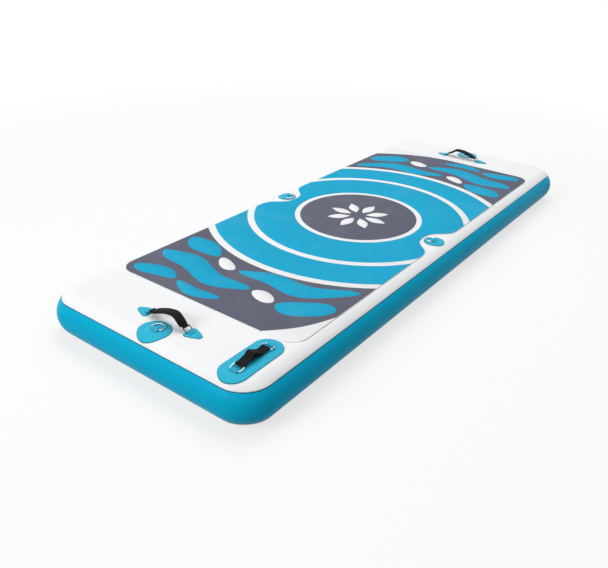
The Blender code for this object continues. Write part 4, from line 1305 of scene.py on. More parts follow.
@dataclass
class DeckPad:
    """The white foam sheet and the coloured sheets on it, with plain waves and a rosette."""

    low: float = 150.3 * MM
    base_top: float = 152.7 * MM
    top: float = 153.3 * MM
    half_width: float = 392 * MM
    half_length: float = 942 * MM
    corner: float = 60 * MM
    disc: float = 244.5 * MM
    inner_inside: float = 266.8 * MM
    inner_outside: float = 437.9 * MM
    outer_inside: float = 465.9 * MM
    outer_outside: float = 601.8 * MM
    panel_inside: float = 631.6 * MM
    ring_y: float = -20 * MM
    neck_x: float = 320 * MM
    neck_half: float = 18 * MM
    mouth_half: float = 120 * MM
    rounding: float = 0.35 * MM
    print_rise: float = 0.25 * MM
    petals: int = 8
    petal_inside: float = 34 * MM
    petal_outside: float = 132 * MM
    petal_half: float = 21 * MM
    near_cut: Point = (132 * MM, 210 * MM)
    far_cut: Point = (330 * MM, 150 * MM)
    cut_bulge: float = 0.07
    lens_fullness: float = 1.15
    lens_steps: int = 30
    wave_height: float = 0.045
    wave_turns: float = 1.35
    # Each lens's start and end across a panel, its distance from the ring and half its width
    WAVES = (
        (-0.95, 0.12, 0.175, 0.130),
        (0.46, 0.95, 0.175, 0.125),
        (-0.95, -0.50, 0.515, 0.140),
        (-0.17, 0.95, 0.500, 0.145),
        (-0.08, 0.41, 0.830, 0.080),
        (0.46, 0.93, 0.830, 0.095),
    )
    SLIVERS = (
        (0.17, 0.42, 0.180, 0.085),
        (-0.46, -0.21, 0.510, 0.090),
    )

    def notch(self) -> list[Point]:
        """Draws the right-hand notch round a side patch.

        Returns:
            Its points, from its near mouth to its far mouth.
        """
        side, neck, mouth = self.half_width, self.neck_x, self.mouth_half
        half = [
            (side, mouth + 30 * MM),
            (side - 3 * MM, mouth + 6 * MM),
            (side - 14 * MM, mouth - 20 * MM),
            (neck + 22 * MM, 66 * MM),
            (neck + 5 * MM, 42 * MM),
            (neck - 1 * MM, self.neck_half),
        ]
        near = [(x, self.ring_y - away) for x, away in half]
        far = [(x, self.ring_y + away) for x, away in reversed(half)]
        return smoothed([*near, (neck - 2 * MM, self.ring_y), *far], 5)

    def corner_arc(self, start: float, end: float) -> list[Point]:
        """The pad's rounded far right corner."""
        centre = (self.half_width - self.corner, self.half_length - self.corner)
        return arc(centre, self.corner, start, end, 16)

    def pad_outline(self) -> list[Point]:
        """Draws the whole pad's edge.

        Returns:
            Its points.
        """
        near = [(x, -y) for x, y in self.corner_arc(90.0, 0.0)]
        right = near + self.notch() + self.corner_arc(0.0, 90.0)
        return right + [(-x, y) for x, y in reversed(right)]

    def ring_arc(self, radius: float) -> list[Point]:
        """The far arc of a ring between the pad's sides, from right to left."""
        start = math.degrees(math.acos(self.half_width / radius))
        return arc((0.0, 0.0), radius, start, 180.0 - start, 56)

    def panel_point(self, across: float, end: float) -> Point:
        """Finds a place on the far end panel.

        Args:
            across: Its share of the way from the middle to the right side.
            end: Its share of the way from the ring to the end.

        Returns:
            The place.
        """
        x = across * self.half_width
        ring = math.sqrt(self.panel_inside**2 - x**2)
        return x, ring + (self.half_length - ring) * end

    def lens(self, start: float, end: float, middle: float, half: float) -> list[Point]:
        """A wave-shaped lens across the far end panel.

        Args:
            start: Where it begins across the panel.
            end: Where it ends.
            middle: How far it lies from the ring.
            half: Half its width at its middle.

        Returns:
            Its outline.
        """
        lower, upper = [], []
        for step in range(self.lens_steps + 1):
            turn = math.pi * step / self.lens_steps
            across = start + (end - start) * (1.0 - math.cos(turn)) / 2
            wave = self.wave_height * math.sin(math.tau * self.wave_turns * across)
            spread = half * math.sin(turn) ** self.lens_fullness
            lower.append(self.panel_point(across, middle + wave - spread))
            upper.append(self.panel_point(across, middle + wave + spread))
        return lower + upper[-2:0:-1]

    def panel_outline(self, cut_size: Point) -> list[Point]:
        """Draws the far end panel, with a bowed cut across its left corner.

        Args:
            cut_size: How far the cut runs across and along the panel.

        Returns:
            Its points.
        """
        wide, long = cut_size
        bowed = []
        for step in range(17):
            share = step / 16
            bulge = self.cut_bulge * math.sin(math.pi * share)
            across = wide - self.half_width - wide * share - bulge * long
            bowed.append((across, self.half_length - long * share + bulge * wide))
        return self.ring_arc(self.panel_inside)[::-1] + self.corner_arc(0.0, 90.0) + bowed

    def petal(self, turn: float) -> list[Point]:
        """Draws one petal of the rosette.

        Args:
            turn: Its angle in radians.

        Returns:
            Its points.
        """
        points = []
        cosine, sine = math.cos(turn), math.sin(turn)
        for sign, steps in ((-1, range(21)), (1, range(19, 0, -1))):
            for share in (step / 20 for step in steps):
                along = self.petal_inside + (self.petal_outside - self.petal_inside) * share
                out = sign * self.petal_half * math.sin(math.pi * share)
                points.append((along * cosine - out * sine, along * sine + out * cosine))
        return points

    def sheet(
        self,
        node: str,
        finish: Finish,
        outlines: Sequence[Sequence[Point]],
        low: float,
        high: float,
    ) -> None:
        """Makes one foam sheet.

        Args:
            node: The node that it stands for.
            finish: Its colour.
            outlines: Its edge, then its holes.
            low: The height of its underside.
            high: The height of its top.
        """
        shape = bmesh.new()
        fill(shape, *outlines)
        thicken(shape, low, high, min(self.rounding, (high - low) * 0.6))
        piece = publish(shape, node, finish, "root", [node], SHEET_SHARP)

    def inlay(self, node: str, finish: Finish, *outlines: Sequence[Point]) -> None:
        """Makes a coloured sheet on the white one, of its edge and then its holes."""
        self.sheet(node, finish, outlines, self.base_top + 0.02 * MM, self.top)

    def marks(self, name: str, finish: Finish, outlines: Iterable[Sequence[Point]]) -> None:
        """Makes a group of thin coloured shapes on the coloured sheets.

        Args:
            name: The group's name.
            finish: Its colour.
            outlines: The edge of each shape.
        """
        shape = bmesh.new()
        for points in outlines:
            fill(shape, points)
        thicken(shape, self.top, self.top + self.print_rise, self.print_rise * 0.5, 1)
        publish(shape, name, finish, "root", [], SHEET_SHARP)

    def build(self) -> None:
        """Makes the pad, its bands, its panels and their patterns."""
        self.sheet("deck_pad", Finish.WHITE_FOAM, [self.pad_outline()], self.low, self.base_top)
        self.inlay("centre_disc", Finish.GREY_FOAM, circle(self.disc, 144))
        far = self.ring_arc(self.inner_outside)
        left_notch = [(-x, y) for x, y in reversed(self.notch())]
        band = far + left_notch + half_turned(far) + self.notch()
        self.inlay("inner_band", Finish.TEAL_FOAM, band, circle(self.inner_inside, 144))
        outer = self.ring_arc(self.outer_outside) + self.ring_arc(self.outer_inside)[::-1]
        self.inlay("outer_band_far", Finish.TEAL_FOAM, outer)
        self.inlay("outer_band_near", Finish.TEAL_FOAM, half_turned(outer))
        ends = (("far", self.far_cut, list), ("near", self.near_cut, half_turned))
        for end, cut_size, placed in ends:
            panel = f"end_panel_{end}"
            self.inlay(panel, Finish.GREY_FOAM, placed(self.panel_outline(cut_size)))
            for name, finish, rows in (
                ("waves", Finish.TEAL_FOAM, self.WAVES),
                ("slivers", Finish.WHITE_FOAM, self.SLIVERS),
            ):
                self.marks(f"{panel}_{name}", finish, [placed(self.lens(*row)) for row in rows])
        petals = [self.petal(turn) for turn in angles(self.petals)]
        self.marks("centre_rosette", Finish.WHITE_FOAM, petals)


# Fittings on the deck


@dataclass
class Fittings:
    """What the deck's fittings share: patches, folded anchors and bent wire."""

    hull: Hull
    deck: float = 150 * MM
    patch_gap: float = 0.5 * MM
    patch_thickness: float = 1.5 * MM
    patch_rim: float = 0.3 * MM
    # The width of the band of painted shade inside a patch's edge.
    shaded_band: float = 1.5 * MM
    patch_border: float = 1.6 * MM
    patch_groove: float = 0.7 * MM
    patch_press: float = 0.35 * MM
    patch_step: float = 5 * MM
    patch_steps: int = 14
    ply: float = 1.1 * MM
    weld_length: float = 3.2 * MM
    weld_swell: float = 0.07
    wire_spacing: float = 0.8 * MM
    seam_margin: float = 1.8 * MM
    seam_start: float = 6.5 * MM
    seam_end: float = 1.2 * MM
    stitching: Stitching = Stitching()

    @property
    def patch_top(self) -> float:
        """The height of a patch's top above the deck."""
        return self.patch_gap + self.patch_thickness

    def bar_height(self, wire: float) -> float:
        """The height above the deck of a wire's middle in its anchor."""
        return self.patch_top + GAP + self.ply + GAP + wire

    def make_patch(self, node: str, outline: Sequence[Point], inner: float = 0.0) -> None:
        """Makes a patch with a band of painted shade along its edge and a pressed border, bent
        over the deck's edge.

        Args:
            node: The node that it stands for.
            outline: Its edge, in the mat's frame.
            inner: How far inside the border a second pressed line runs, or 0 for none.
        """
        shape = bmesh.new()
        rim = layer(shape, "rim")
        bmesh.ops.contextual_create(shape, geom=loop(shape, outline))
        raised = bmesh.ops.extrude_face_region(shape, geom=list(shape.faces))["geom"]
        top = only(raised, BMFace)
        lift = (0.0, 0.0, self.patch_thickness - self.patch_rim)
        bmesh.ops.translate(shape, verts=only(raised, BMVert), vec=lift)
        for face in top:
            face.normal_update()
            if face.normal.z < 0.0:
                face.normal_flip()
        # The rim value carries painted shade: the patch's sides, rounded edge and the band inside
        # it get 1.
        for vert in shape.verts:
            vert[rim] = 1.0
        groove, press = self.patch_groove, self.patch_press
        pressed = [(groove, -press, 0.0), (groove, press, 0.0)]
        # Each step: how far in, how far up, and the painted shade given to the points inside it.
        steps = [
            (self.patch_rim, self.patch_rim, 1.0),
            (self.shaded_band, 0.0, 1.0),
            (self.patch_rim, 0.0, 0.0),
            (self.patch_border, 0.0, 0.0),
            *pressed,
        ]
        if inner:
            steps += [(inner, 0.0, 0.0), *pressed]
        for inward, up, shade in steps:
            bmesh.ops.inset_region(
                shape, faces=top, thickness=inward, depth=up, use_even_offset=True
            )
            for vert in {vert for face in top for vert in face.verts}:
                vert[rim] = shade
        wide, long, _ = self.hull.flat
        for axis, limit in enumerate((wide, long)):
            farthest = max(outline, key=lambda point: abs(point[axis]))[axis]
            line = limit - self.patch_steps * self.patch_step
            while line < abs(farthest):
                place, normal = [0.0, 0.0, 0.0], [0.0, 0.0, 0.0]
                place[axis], normal[axis] = math.copysign(line, farthest), 1.0
                everything = [*shape.verts, *shape.edges, *shape.faces]
                bmesh.ops.bisect_plane(
                    shape, geom=everything, dist=0.1 * MM, plane_co=place, plane_no=normal
                )
                line += self.patch_step
        for vert in shape.verts:
            vert.co.z += self.deck + self.patch_gap - self.hull.drop(vert.co.x, vert.co.y)
        publish(shape, node, Finish.PATCH, "root", [node], SHEET_SHARP)

    def wire(self, shape: BMesh, points: Sequence[Vector], radius: float, normal: Vector) -> None:
        """Bends a wire along a flat closed line, with a small weld where it starts.

        Args:
            shape: The shape that grows.
            points: The line, with its first point again at its end.
            radius: The wire's radius.
            normal: The direction off the line's plane.
        """
        route = Route(points, normal, True)
        weld = self.weld_length / route.length

        def section(share: float) -> list[Point]:
            """Draws the wire's section, swollen at its weld.

            Args:
                share: How far along the wire.

            Returns:
                Its points.
            """
            near = min(share, 1.0 - share) / weld
            bead = self.weld_swell * math.exp(-((near * 1.2) ** 2))
            return circle(radius * (1.0 + bead * (1.0 + 0.4 * math.sin(near * 9.0))), 16)

        sweep(shape, route, section, self.wire_spacing)

    def anchor_route(self, wire: float, tail: float, place: Matrix) -> Route:
        """Folds the tape: out along the patch, round the bar and back over itself.

        Args:
            wire: The bar's radius.
            tail: The length of the sewn tail.
            place: The bar's frame, with the tail towards +y and x along the bar.

        Returns:
            The tape's line.
        """
        reach = wire + GAP + self.ply / 2
        wrap = arc((0.0, 0.0), reach, 270.0, 62.0, 26)
        lap = self.ply - reach
        back = [(5.2 * MM, -0.2 * MM), (8.0 * MM, lap - self.ply * 0.05), (tail, lap + 0.05 * MM)]
        line = [(tail, -reach), *wrap, *smoothed([wrap[-1], *back], 5)[1:]]
        return Route([(0.0, y, z) for y, z in line], (-1.0, 0.0, 0.0)).moved(place)

    def make_anchor(
        self, node: str, wire: float, tail: float, width: float, place: Matrix
    ) -> None:
        """Makes an anchor of folded tape, sewn through both plies.

        Args:
            node: The node that it stands for.
            wire: The bar's radius.
            tail: The length of its tail.
            width: The tape's width.
            place: The bar's frame.
        """
        route = self.anchor_route(wire, tail, place)
        lay_tape(node, Finish.ANCHOR, "root", route, flat_section(width, self.ply), 0.7 * MM)
        seams = tape_shape()
        start, end = route.length - tail + self.seam_start, route.length - self.seam_end
        half = width / 2 - self.seam_margin
        for first, second in (
            ((-half, start), (half, start)),
            ((-half, end), (half, end)),
            ((-half, start), (-half, end)),
            ((half, start), (half, end)),
        ):
            self.stitching.line(seams, route, first, second, self.ply / 2)
        publish(seams, node, Finish.TEAL_THREAD, "root")


@dataclass
class DRing:
    """A steel D-ring with its anchor and its round patch."""

    fittings: Fittings
    place_name: str
    spot: Point
    turn: float
    patch_centre: Point
    patch_radius: float
    wire: float = 2 * MM
    half_width: float = 20 * MM
    leg: float = 10 * MM
    rounding: float = 3.5 * MM
    anchor_width: float = 26 * MM
    tail: float = 13 * MM
    inner_share: float = 0.24

    def ring_points(self) -> list[Point]:
        """Draws the D from the middle of its bar, round its bow and back.

        Returns:
            Its points.
        """
        half, tight = self.half_width, self.rounding
        first = arc((half - tight, -tight), tight, 90.0, 0.0, 6)
        bow = arc((0.0, -self.leg), half, 0.0, -180.0, 36)
        last = arc((tight - half, -tight), tight, 180.0, 90.0, 6)
        return [(0.0, 0.0), *first, *bow, *last, (0.0, 0.0)]

    def build(self) -> None:
        """Makes the patch, the anchor and the ring."""
        fittings = self.fittings
        node = f"{self.place_name}_d_ring"
        outline = circle(self.patch_radius, 96, self.patch_centre)
        fittings.make_patch(f"{node}_patch", outline, self.patch_radius * self.inner_share)
        height = fittings.bar_height(self.wire)
        place = Matrix.Translation((*self.spot, fittings.deck + height))
        place = place @ Matrix.Rotation(self.turn, 4, "Z")
        fittings.make_anchor(f"{node}_anchor", self.wire, self.tail, self.anchor_width, place)
        drop = height - self.wire - fittings.patch_top - GAP
        lean = math.asin(drop / (self.leg + self.half_width))
        rise, run = math.sin(lean), math.cos(lean)
        points = [place @ Vector((x, y * run, y * rise)) for x, y in self.ring_points()]
        shape = bmesh.new()
        fittings.wire(shape, points, self.wire, place.to_3x3() @ Vector((0.0, -rise, run)))
        publish(shape, node, Finish.STEEL, node, [node], TAPE_SHARP)


class Arch(Enum):
    """How a handle lies between its ends: rows of share along it and height in millimetres."""

    NEAR = (
        (-1.00, 0.0),
        (-0.84, 4.0),
        (-0.50, 13.4),
        (-0.10, 22.7),
        (0.25, 27.2),
        (0.47, 28.0),
        (0.64, 22.7),
        (0.82, 11.2),
        (1.00, 0.0),
    )
    FAR = (
        (-1.00, 0.0),
        (-0.80, 6.0),
        (-0.45, 15.0),
        (-0.05, 20.6),
        (0.30, 22.0),
        (0.56, 20.0),
        (0.80, 10.0),
        (1.00, 0.0),
    )


@dataclass
class CarryHandle:
    """A webbing handle in a padded sleeve, with a wire loop and a patch at each end."""

    fittings: Fittings
    end: str
    middle: Point
    turn: float
    lie: Arch
    patch_start: float = 80 * MM
    patch_length: float = 57 * MM
    patch_half: float = 29 * MM
    tip_half: float = 7 * MM
    tip_rounding: float = 6.5 * MM
    back_rounding: float = 11 * MM
    patch_bow: float = 2.2 * MM
    bar_x: float = 87 * MM
    wire: float = 1.5 * MM
    ring_half: float = 13 * MM
    ring_run: float = 13 * MM
    ring_rounding: float = 2.2 * MM
    axis_height: float = 16 * MM
    anchor_tail: float = 14 * MM
    tape_width: float = 22 * MM
    tape_thickness: float = 2 * MM
    end_ply: float = 1.3 * MM
    end_loop: float = 6 * MM
    sleeve_width: float = 31 * MM
    sleeve_thickness: float = 10.4 * MM
    sleeve_setback: float = 2.6 * MM
    sleeve_end: float = 6 * MM
    sleeve_taper: float = 13 * MM
    sleeve_boxiness: float = 5.0
    sleeve_fullness: float = 2.2
    hem: float = 4.5 * MM
    groove: float = 6.6 * MM
    groove_width: float = 1 * MM
    seam_share: float = 0.72
    seam_start: float = 4 * MM
    cross_seam: float = 5.6 * MM
    gather_place: float = 0.70
    gather_width: float = 0.12

    @property
    def node(self) -> str:
        """The first words of its nodes' names, which also name its moving body."""
        return f"{self.end}_handle"

    def base(self) -> Matrix:
        """The handle's frame on the deck."""
        place = Matrix.Translation((*self.middle, self.fittings.deck))
        return place @ Matrix.Rotation(self.turn, 4, "Z")

    def arch(self, reach: float) -> Route:
        """Bends the handle's line.

        Args:
            reach: How far each of its ends lies from its middle.

        Returns:
            The line.
        """
        points = smoothed([(x * reach, z * MM) for x, z in self.lie.value], 8)
        flat = Route([(x, 0.0, z + self.axis_height) for x, z in points], (0.0, 1.0, 0.0))
        return flat.moved(self.base())

    def arrow(self) -> list[Point]:
        """Draws the arrow-shaped patch, on the handle's right.

        Returns:
            Its points.
        """
        start, length, bow = self.patch_start, self.patch_length, self.patch_bow
        waist = (self.patch_half + self.tip_half) / 2
        half = [
            (start, self.patch_half, self.back_rounding),
            (start + length / 2 + bow * 0.4, waist + bow, length * 3),
            (start + length, self.tip_half, self.tip_rounding),
        ]
        return rounded([*[(x, -y, radius) for x, y, radius in half], *half[::-1]], 8)

    def make_end(self, side: str, turn: float) -> None:
        """Makes the fixed pieces at one end.

        Args:
            side: right or left, as the handle's own frame has it.
            turn: The end's turn about the handle's middle.
        """
        fittings = self.fittings
        place = self.base() @ Matrix.Rotation(turn, 4, "Z")
        outline = [tuple((place @ Vector((x, y, 0.0))).xy) for x, y in self.arrow()]
        fittings.make_patch(f"{self.node}_patch_{side}", outline)
        spot = Matrix.Translation((self.bar_x, 0.0, fittings.bar_height(self.wire)))
        bar = place @ spot @ Matrix.Rotation(-math.pi / 2, 4, "Z")
        anchor = f"{self.node}_anchor_{side}"
        fittings.make_anchor(anchor, self.wire, self.anchor_tail, self.tape_width, bar)
        self.make_ring(side, bar)
        self.make_end_loop(side, place)

    def make_ring(self, side: str, bar: Matrix) -> None:
        """Makes the wire loop, which leans up from its bar to the handle's axis.

        Args:
            side: right or left.
            bar: Its bar's frame.
        """
        rise = self.axis_height - self.fittings.bar_height(self.wire)
        place = bar @ Matrix.Rotation(-math.atan2(rise, self.ring_run), 4, "X")
        line = oblong(self.ring_half, math.hypot(self.ring_run, rise), self.ring_rounding)
        shape = bmesh.new()
        normal = place.to_3x3() @ Vector((0.0, 0.0, 1.0))
        points = [place @ Vector((x, -y, 0.0)) for x, y in line]
        self.fittings.wire(shape, points, self.wire, normal)
        ring = f"{self.node}_ring_{side}"
        publish(shape, ring, Finish.BLACK_WIRE, "root", [ring], TAPE_SHARP)

    def make_end_loop(self, side: str, place: Matrix) -> None:
        """Makes the webbing's sewn end, folded round the outer bar of the wire loop.

        Args:
            side: right or left.
            place: The end's frame.
        """
        outer = place @ Matrix.Translation((self.bar_x - self.ring_run, 0.0, self.axis_height))
        flat = (-self.end_loop, self.end_ply * 0.52)
        over = [flat, (-4.2 * MM, 1.15 * MM), (-1.9 * MM, 2.05 * MM)]
        round_bar = arc((0.0, 0.0), self.wire + GAP + self.end_ply / 2, 105.0, -105.0, 26)
        fold = [*over, *round_bar, *[(x, -z) for x, z in reversed(over)]]
        route = Route([(x, 0.0, z) for x, z in fold], (0.0, 1.0, 0.0)).moved(outer)
        section = flat_section(self.tape_width, self.end_ply)
        end_loop = f"{self.node}_end_loop_{side}"
        lay_tape(end_loop, Finish.BLACK_TAPE, "root", route, section, 0.6 * MM)

    def sleeve_depth(self, share: float, length: float) -> float:
        """The sleeve's thickness: hemmed and thinner at its ends, full between them.

        Args:
            share: How far along the sleeve.
            length: The sleeve's length.

        Returns:
            The thickness.
        """
        from_end = min(share, 1.0 - share) * length
        fullness = min(1.0, from_end / self.sleeve_taper)
        fullness = fullness * fullness * (3.0 - 2.0 * fullness)
        depth = self.sleeve_end + (self.sleeve_thickness - self.sleeve_end) * fullness
        hem = 0.04 * math.exp(-((from_end / self.hem) ** 4))
        groove = swelling(from_end, 0.10, self.groove, self.groove_width)
        return depth * (1.0 + hem - groove + 0.03 * math.sin(share * 9.0))

    def sleeve_section(self, share: float, length: float) -> list[Point]:
        """The sleeve's outer section, gathered where it bends.

        Args:
            share: How far along the sleeve.
            length: The sleeve's length.

        Returns:
            The points round it.
        """
        gather = swelling(share, math.sin(share * 74.0), self.gather_place, self.gather_width)
        depth = self.sleeve_depth(share, length)
        section = bean_section(
            self.sleeve_width, depth, self.sleeve_boxiness, self.sleeve_fullness
        )
        return [(x, y + gather * (0.35 if y < 0.0 else 0.12) * MM) for x, y in section]

    def make_grip(self) -> None:
        """Makes the moving webbing, its padded sleeve and the sleeve's seams."""
        webbing, node = f"{self.node}_webbing", f"{self.node}_sleeve"
        reach = self.bar_x - self.ring_run - self.end_loop - GAP
        section = flat_section(self.tape_width, self.tape_thickness)
        lay_tape(webbing, Finish.BLACK_TAPE, self.node, self.arch(reach), section, 1.5 * MM)

        route = self.arch(reach - self.sleeve_setback)
        shape = bmesh.new()
        slot = flat_section(self.tape_width + 2 * GAP, self.tape_thickness + 2 * GAP)
        outer = sweep(
            shape, route, lambda share: self.sleeve_section(share, route.length), 1.2 * MM, False
        )
        inner = sweep(shape, route, lambda share: slot, 1.2 * MM, False)
        for first, second in zip(outer, inner):
            bmesh.ops.bridge_loops(shape, edges=[*first, *second])
        sleeve = publish(shape, node, Finish.BLACK_CLOTH, self.node, [node], TAPE_SHARP)

        seams = tape_shape()
        half = self.sleeve_width / 2 * self.seam_share
        fall = (1.0 - self.seam_share**self.sleeve_boxiness) ** (1 / self.sleeve_fullness)

        def top(along: float) -> float:
            """The height of the sleeve's face where its rows run."""
            return self.sleeve_depth(along / route.length, route.length) / 2 * fall + 0.05 * MM

        thread, start = self.fittings.stitching, self.seam_start
        for across in (-half, half):
            thread.line(seams, route, (across, start), (across, route.length - start), top)
        for along in (self.cross_seam, route.length - self.cross_seam):
            thread.line(seams, route, (-half, along), (half, along), top)
        publish(seams, node, Finish.BLACK_THREAD, self.node)

    def build(self) -> None:
        """Makes the whole handle."""
        self.make_end("right", 0.0)
        self.make_end("left", math.pi)
        self.make_grip()


@dataclass
class PaddleStrap:
    """The two-part strap that closes with hooks and loops, on its long patch."""

    fittings: Fittings
    centre: Point = (333 * MM, -1068 * MM)
    patch_half_width: float = 49 * MM
    patch_half_length: float = 118 * MM
    wire: float = 1.75 * MM
    ring_half: float = 18.5 * MM
    ring_length: float = 19.5 * MM
    ring_rise: float = 4 * MM
    ring_rounding: float = 2.5 * MM
    anchor_width: float = 26 * MM
    anchor_tail: float = 9 * MM
    near_bar: float = -70 * MM
    far_bar: float = 83 * MM
    width: float = 30 * MM
    ply: float = 1.05 * MM
    pad_width: float = 28 * MM
    pad_thickness: float = 1 * MM
    lap: Point = (-12 * MM, 30 * MM)
    lap_low: float = 14.2 * MM
    lap_rise: float = 3.6 * MM
    lean: float = 1.2
    taper: float = 14 * MM
    curl: float = 0.7 * MM
    hump: float = 8 * MM
    hump_place: float = 0 * MM
    hump_width: float = 10 * MM
    dip: float = 4.5 * MM
    dip_place: float = 30 * MM
    dip_width: float = 14 * MM
    curl_share: float = 0.20
    seam_margin: float = 4 * MM
    seam_gap: float = 1 * MM
    seam_length: float = 14 * MM

    def lap_line(self) -> list[Point]:
        """Draws the line between the two halves where they lap.

        Returns:
            Its (along, height) points, from near to far.
        """
        start, end = self.lap
        line = []
        for share in (step / 16 for step in range(17)):
            rise = self.lap_rise * math.sin(math.pi * share**self.lean)
            line.append((start + (end - start) * share, self.lap_low + rise))
        return line

    def make_half(self, end: str, bar_y: float, sign: int) -> None:
        """Makes one half with its anchor, ring and closure pad.

        Args:
            end: near or far.
            bar_y: Where its bar lies along the patch.
            sign: The way that it points.
        """
        fittings, body = self.fittings, f"strap_{end}_half"
        height = fittings.bar_height(self.wire)
        x, y = self.centre
        place = Matrix.Translation((x, y + bar_y, fittings.deck + height))
        turned = place @ Matrix.Rotation(math.pi if sign > 0 else 0.0, 4, "Z")
        anchor, ring = f"strap_anchor_{end}", f"strap_ring_{end}"
        fittings.make_anchor(anchor, self.wire, self.anchor_tail, self.anchor_width, turned)

        tilt = math.asin(self.ring_rise / self.ring_length)
        rise, run = math.sin(tilt), math.cos(tilt)
        line = oblong(self.ring_half, self.ring_length, self.ring_rounding)
        points = [place @ Vector((a, sign * b * run, b * rise)) for a, b in line]
        shape = bmesh.new()
        fittings.wire(shape, points, self.wire, Vector((0.0, -sign * rise, run)))
        publish(shape, ring, Finish.STEEL, body, [ring], TAPE_SHARP)

        hump = self.hump if sign > 0 else 0.0
        closure = []
        for along, up in self.lap_line():
            up += swelling(along, hump, self.hump_place, self.hump_width)
            up -= swelling(along, self.dip, self.dip_place, self.dip_width)
            closure.append((along - bar_y, up - height))
        self.make_tape(end, body, place, self.tape_line(closure, sign), sign)
        self.make_pad(body, place, closure[1:-1], sign)

    def tape_line(self, closure: Sequence[Point], sign: int) -> list[Point]:
        """Draws the line between a half's two plies.

        Args:
            closure: The line between the two halves, in the frame of the half's bar.
            sign: The way that the half points.

        Returns:
            Its points, from the ring to the half's free end.
        """
        lift = sign * (GAP / 2 + self.pad_thickness + GAP + self.ply)
        lapped = offset(closure, [lift] * len(closure))[::sign]
        bar = (sign * math.sqrt(self.ring_length**2 - self.ring_rise**2), self.ring_rise)
        reach = [(end - start) / 3 for start, end in zip(bar, lapped[0])]
        lead = [(bar[0] + step * reach[0], bar[1] + step * reach[1]) for step in range(3)]
        line = smoothed([*lead, *lapped], 3)
        if sign > 0:
            last = len(line) - 1
            for index, (along, up) in enumerate(line):
                share = max(0.0, 1.0 - (1.0 - index / last) / self.curl_share)
                line[index] = (along, up + self.curl * share**2)
        return line

    def make_tape(
        self, end: str, body: str, place: Matrix, middle: Sequence[Point], sign: int
    ) -> None:
        """Makes the tape, folded round its ring and sewn to itself.

        Args:
            end: near or far.
            body: The body that it rides on.
            place: The frame of the half's bar.
            middle: The line between its two plies, from the ring.
            sign: The way that it points.
        """
        thin = self.ply / 2
        reach = self.wire + GAP + thin
        travelled, spreads = 0.0, []
        for index, point in enumerate(middle):
            travelled += math.dist(point, middle[max(index - 1, 0)])
            share = max(0.0, 1.0 - travelled / self.taper)
            spreads.append(thin + (reach - thin) * share * share * (3.0 - 2.0 * share))
        left = offset(middle, spreads)
        right = offset(middle, [-spread for spread in spreads])
        slope = math.degrees(math.atan2(left[0][1] - middle[0][1], left[0][0] - middle[0][0]))
        fold = arc(middle[0], reach, slope, slope + 180.0, 22)
        line = [*left[::-1], *fold[1:-1], *right]
        route = Route([(0.0, a, b) for a, b in line], (1.0, 0.0, 0.0)).moved(place)
        node, section = f"strap_{end}", flat_section(self.width, self.ply)
        lay_tape(node, Finish.BLACK_TAPE, body, route, section, 0.9 * MM)
        seams = tape_shape()
        flat = Route([(0.0, a, b) for a, b in middle], (-sign, 0.0, 0.0)).moved(place)
        half, start = self.width / 2 - self.seam_margin, self.taper + self.seam_gap
        self.fittings.stitching.box(seams, flat, half, start, start + self.seam_length, self.ply)
        publish(seams, node, Finish.BLACK_THREAD, body)

    def make_pad(self, body: str, place: Matrix, line: Sequence[Point], sign: int) -> None:
        """Makes the closure pad on one half.

        Args:
            body: The body that it rides on.
            place: The frame of the half's bar.
            line: The line between the two halves.
            sign: The way that the half points.
        """
        word, finish = ("loop", Finish.LOOPS) if sign > 0 else ("hook", Finish.HOOKS)
        away = sign * (GAP / 2 + self.pad_thickness / 2)
        middle = offset(line, [away] * len(line))
        route = Route([(0.0, a, b) for a, b in middle], (1.0, 0.0, 0.0)).moved(place)
        section = flat_section(self.pad_width, self.pad_thickness)
        lay_tape(f"strap_{word}_pad", finish, body, route, section, 1.2 * MM)

    def build(self) -> None:
        """Makes the patch and both halves."""
        wide, long = self.patch_half_width, self.patch_half_length
        x, y = self.centre
        upper = arc((x, y + long - wide), wide, 0.0, 180.0, 48)
        lower = arc((x, y - long + wide), wide, 180.0, 360.0, 48)
        self.fittings.make_patch("strap_patch", upper + lower)
        self.make_half("near", self.near_bar, 1)
        self.make_half("far", self.far_bar, -1)


# Valve


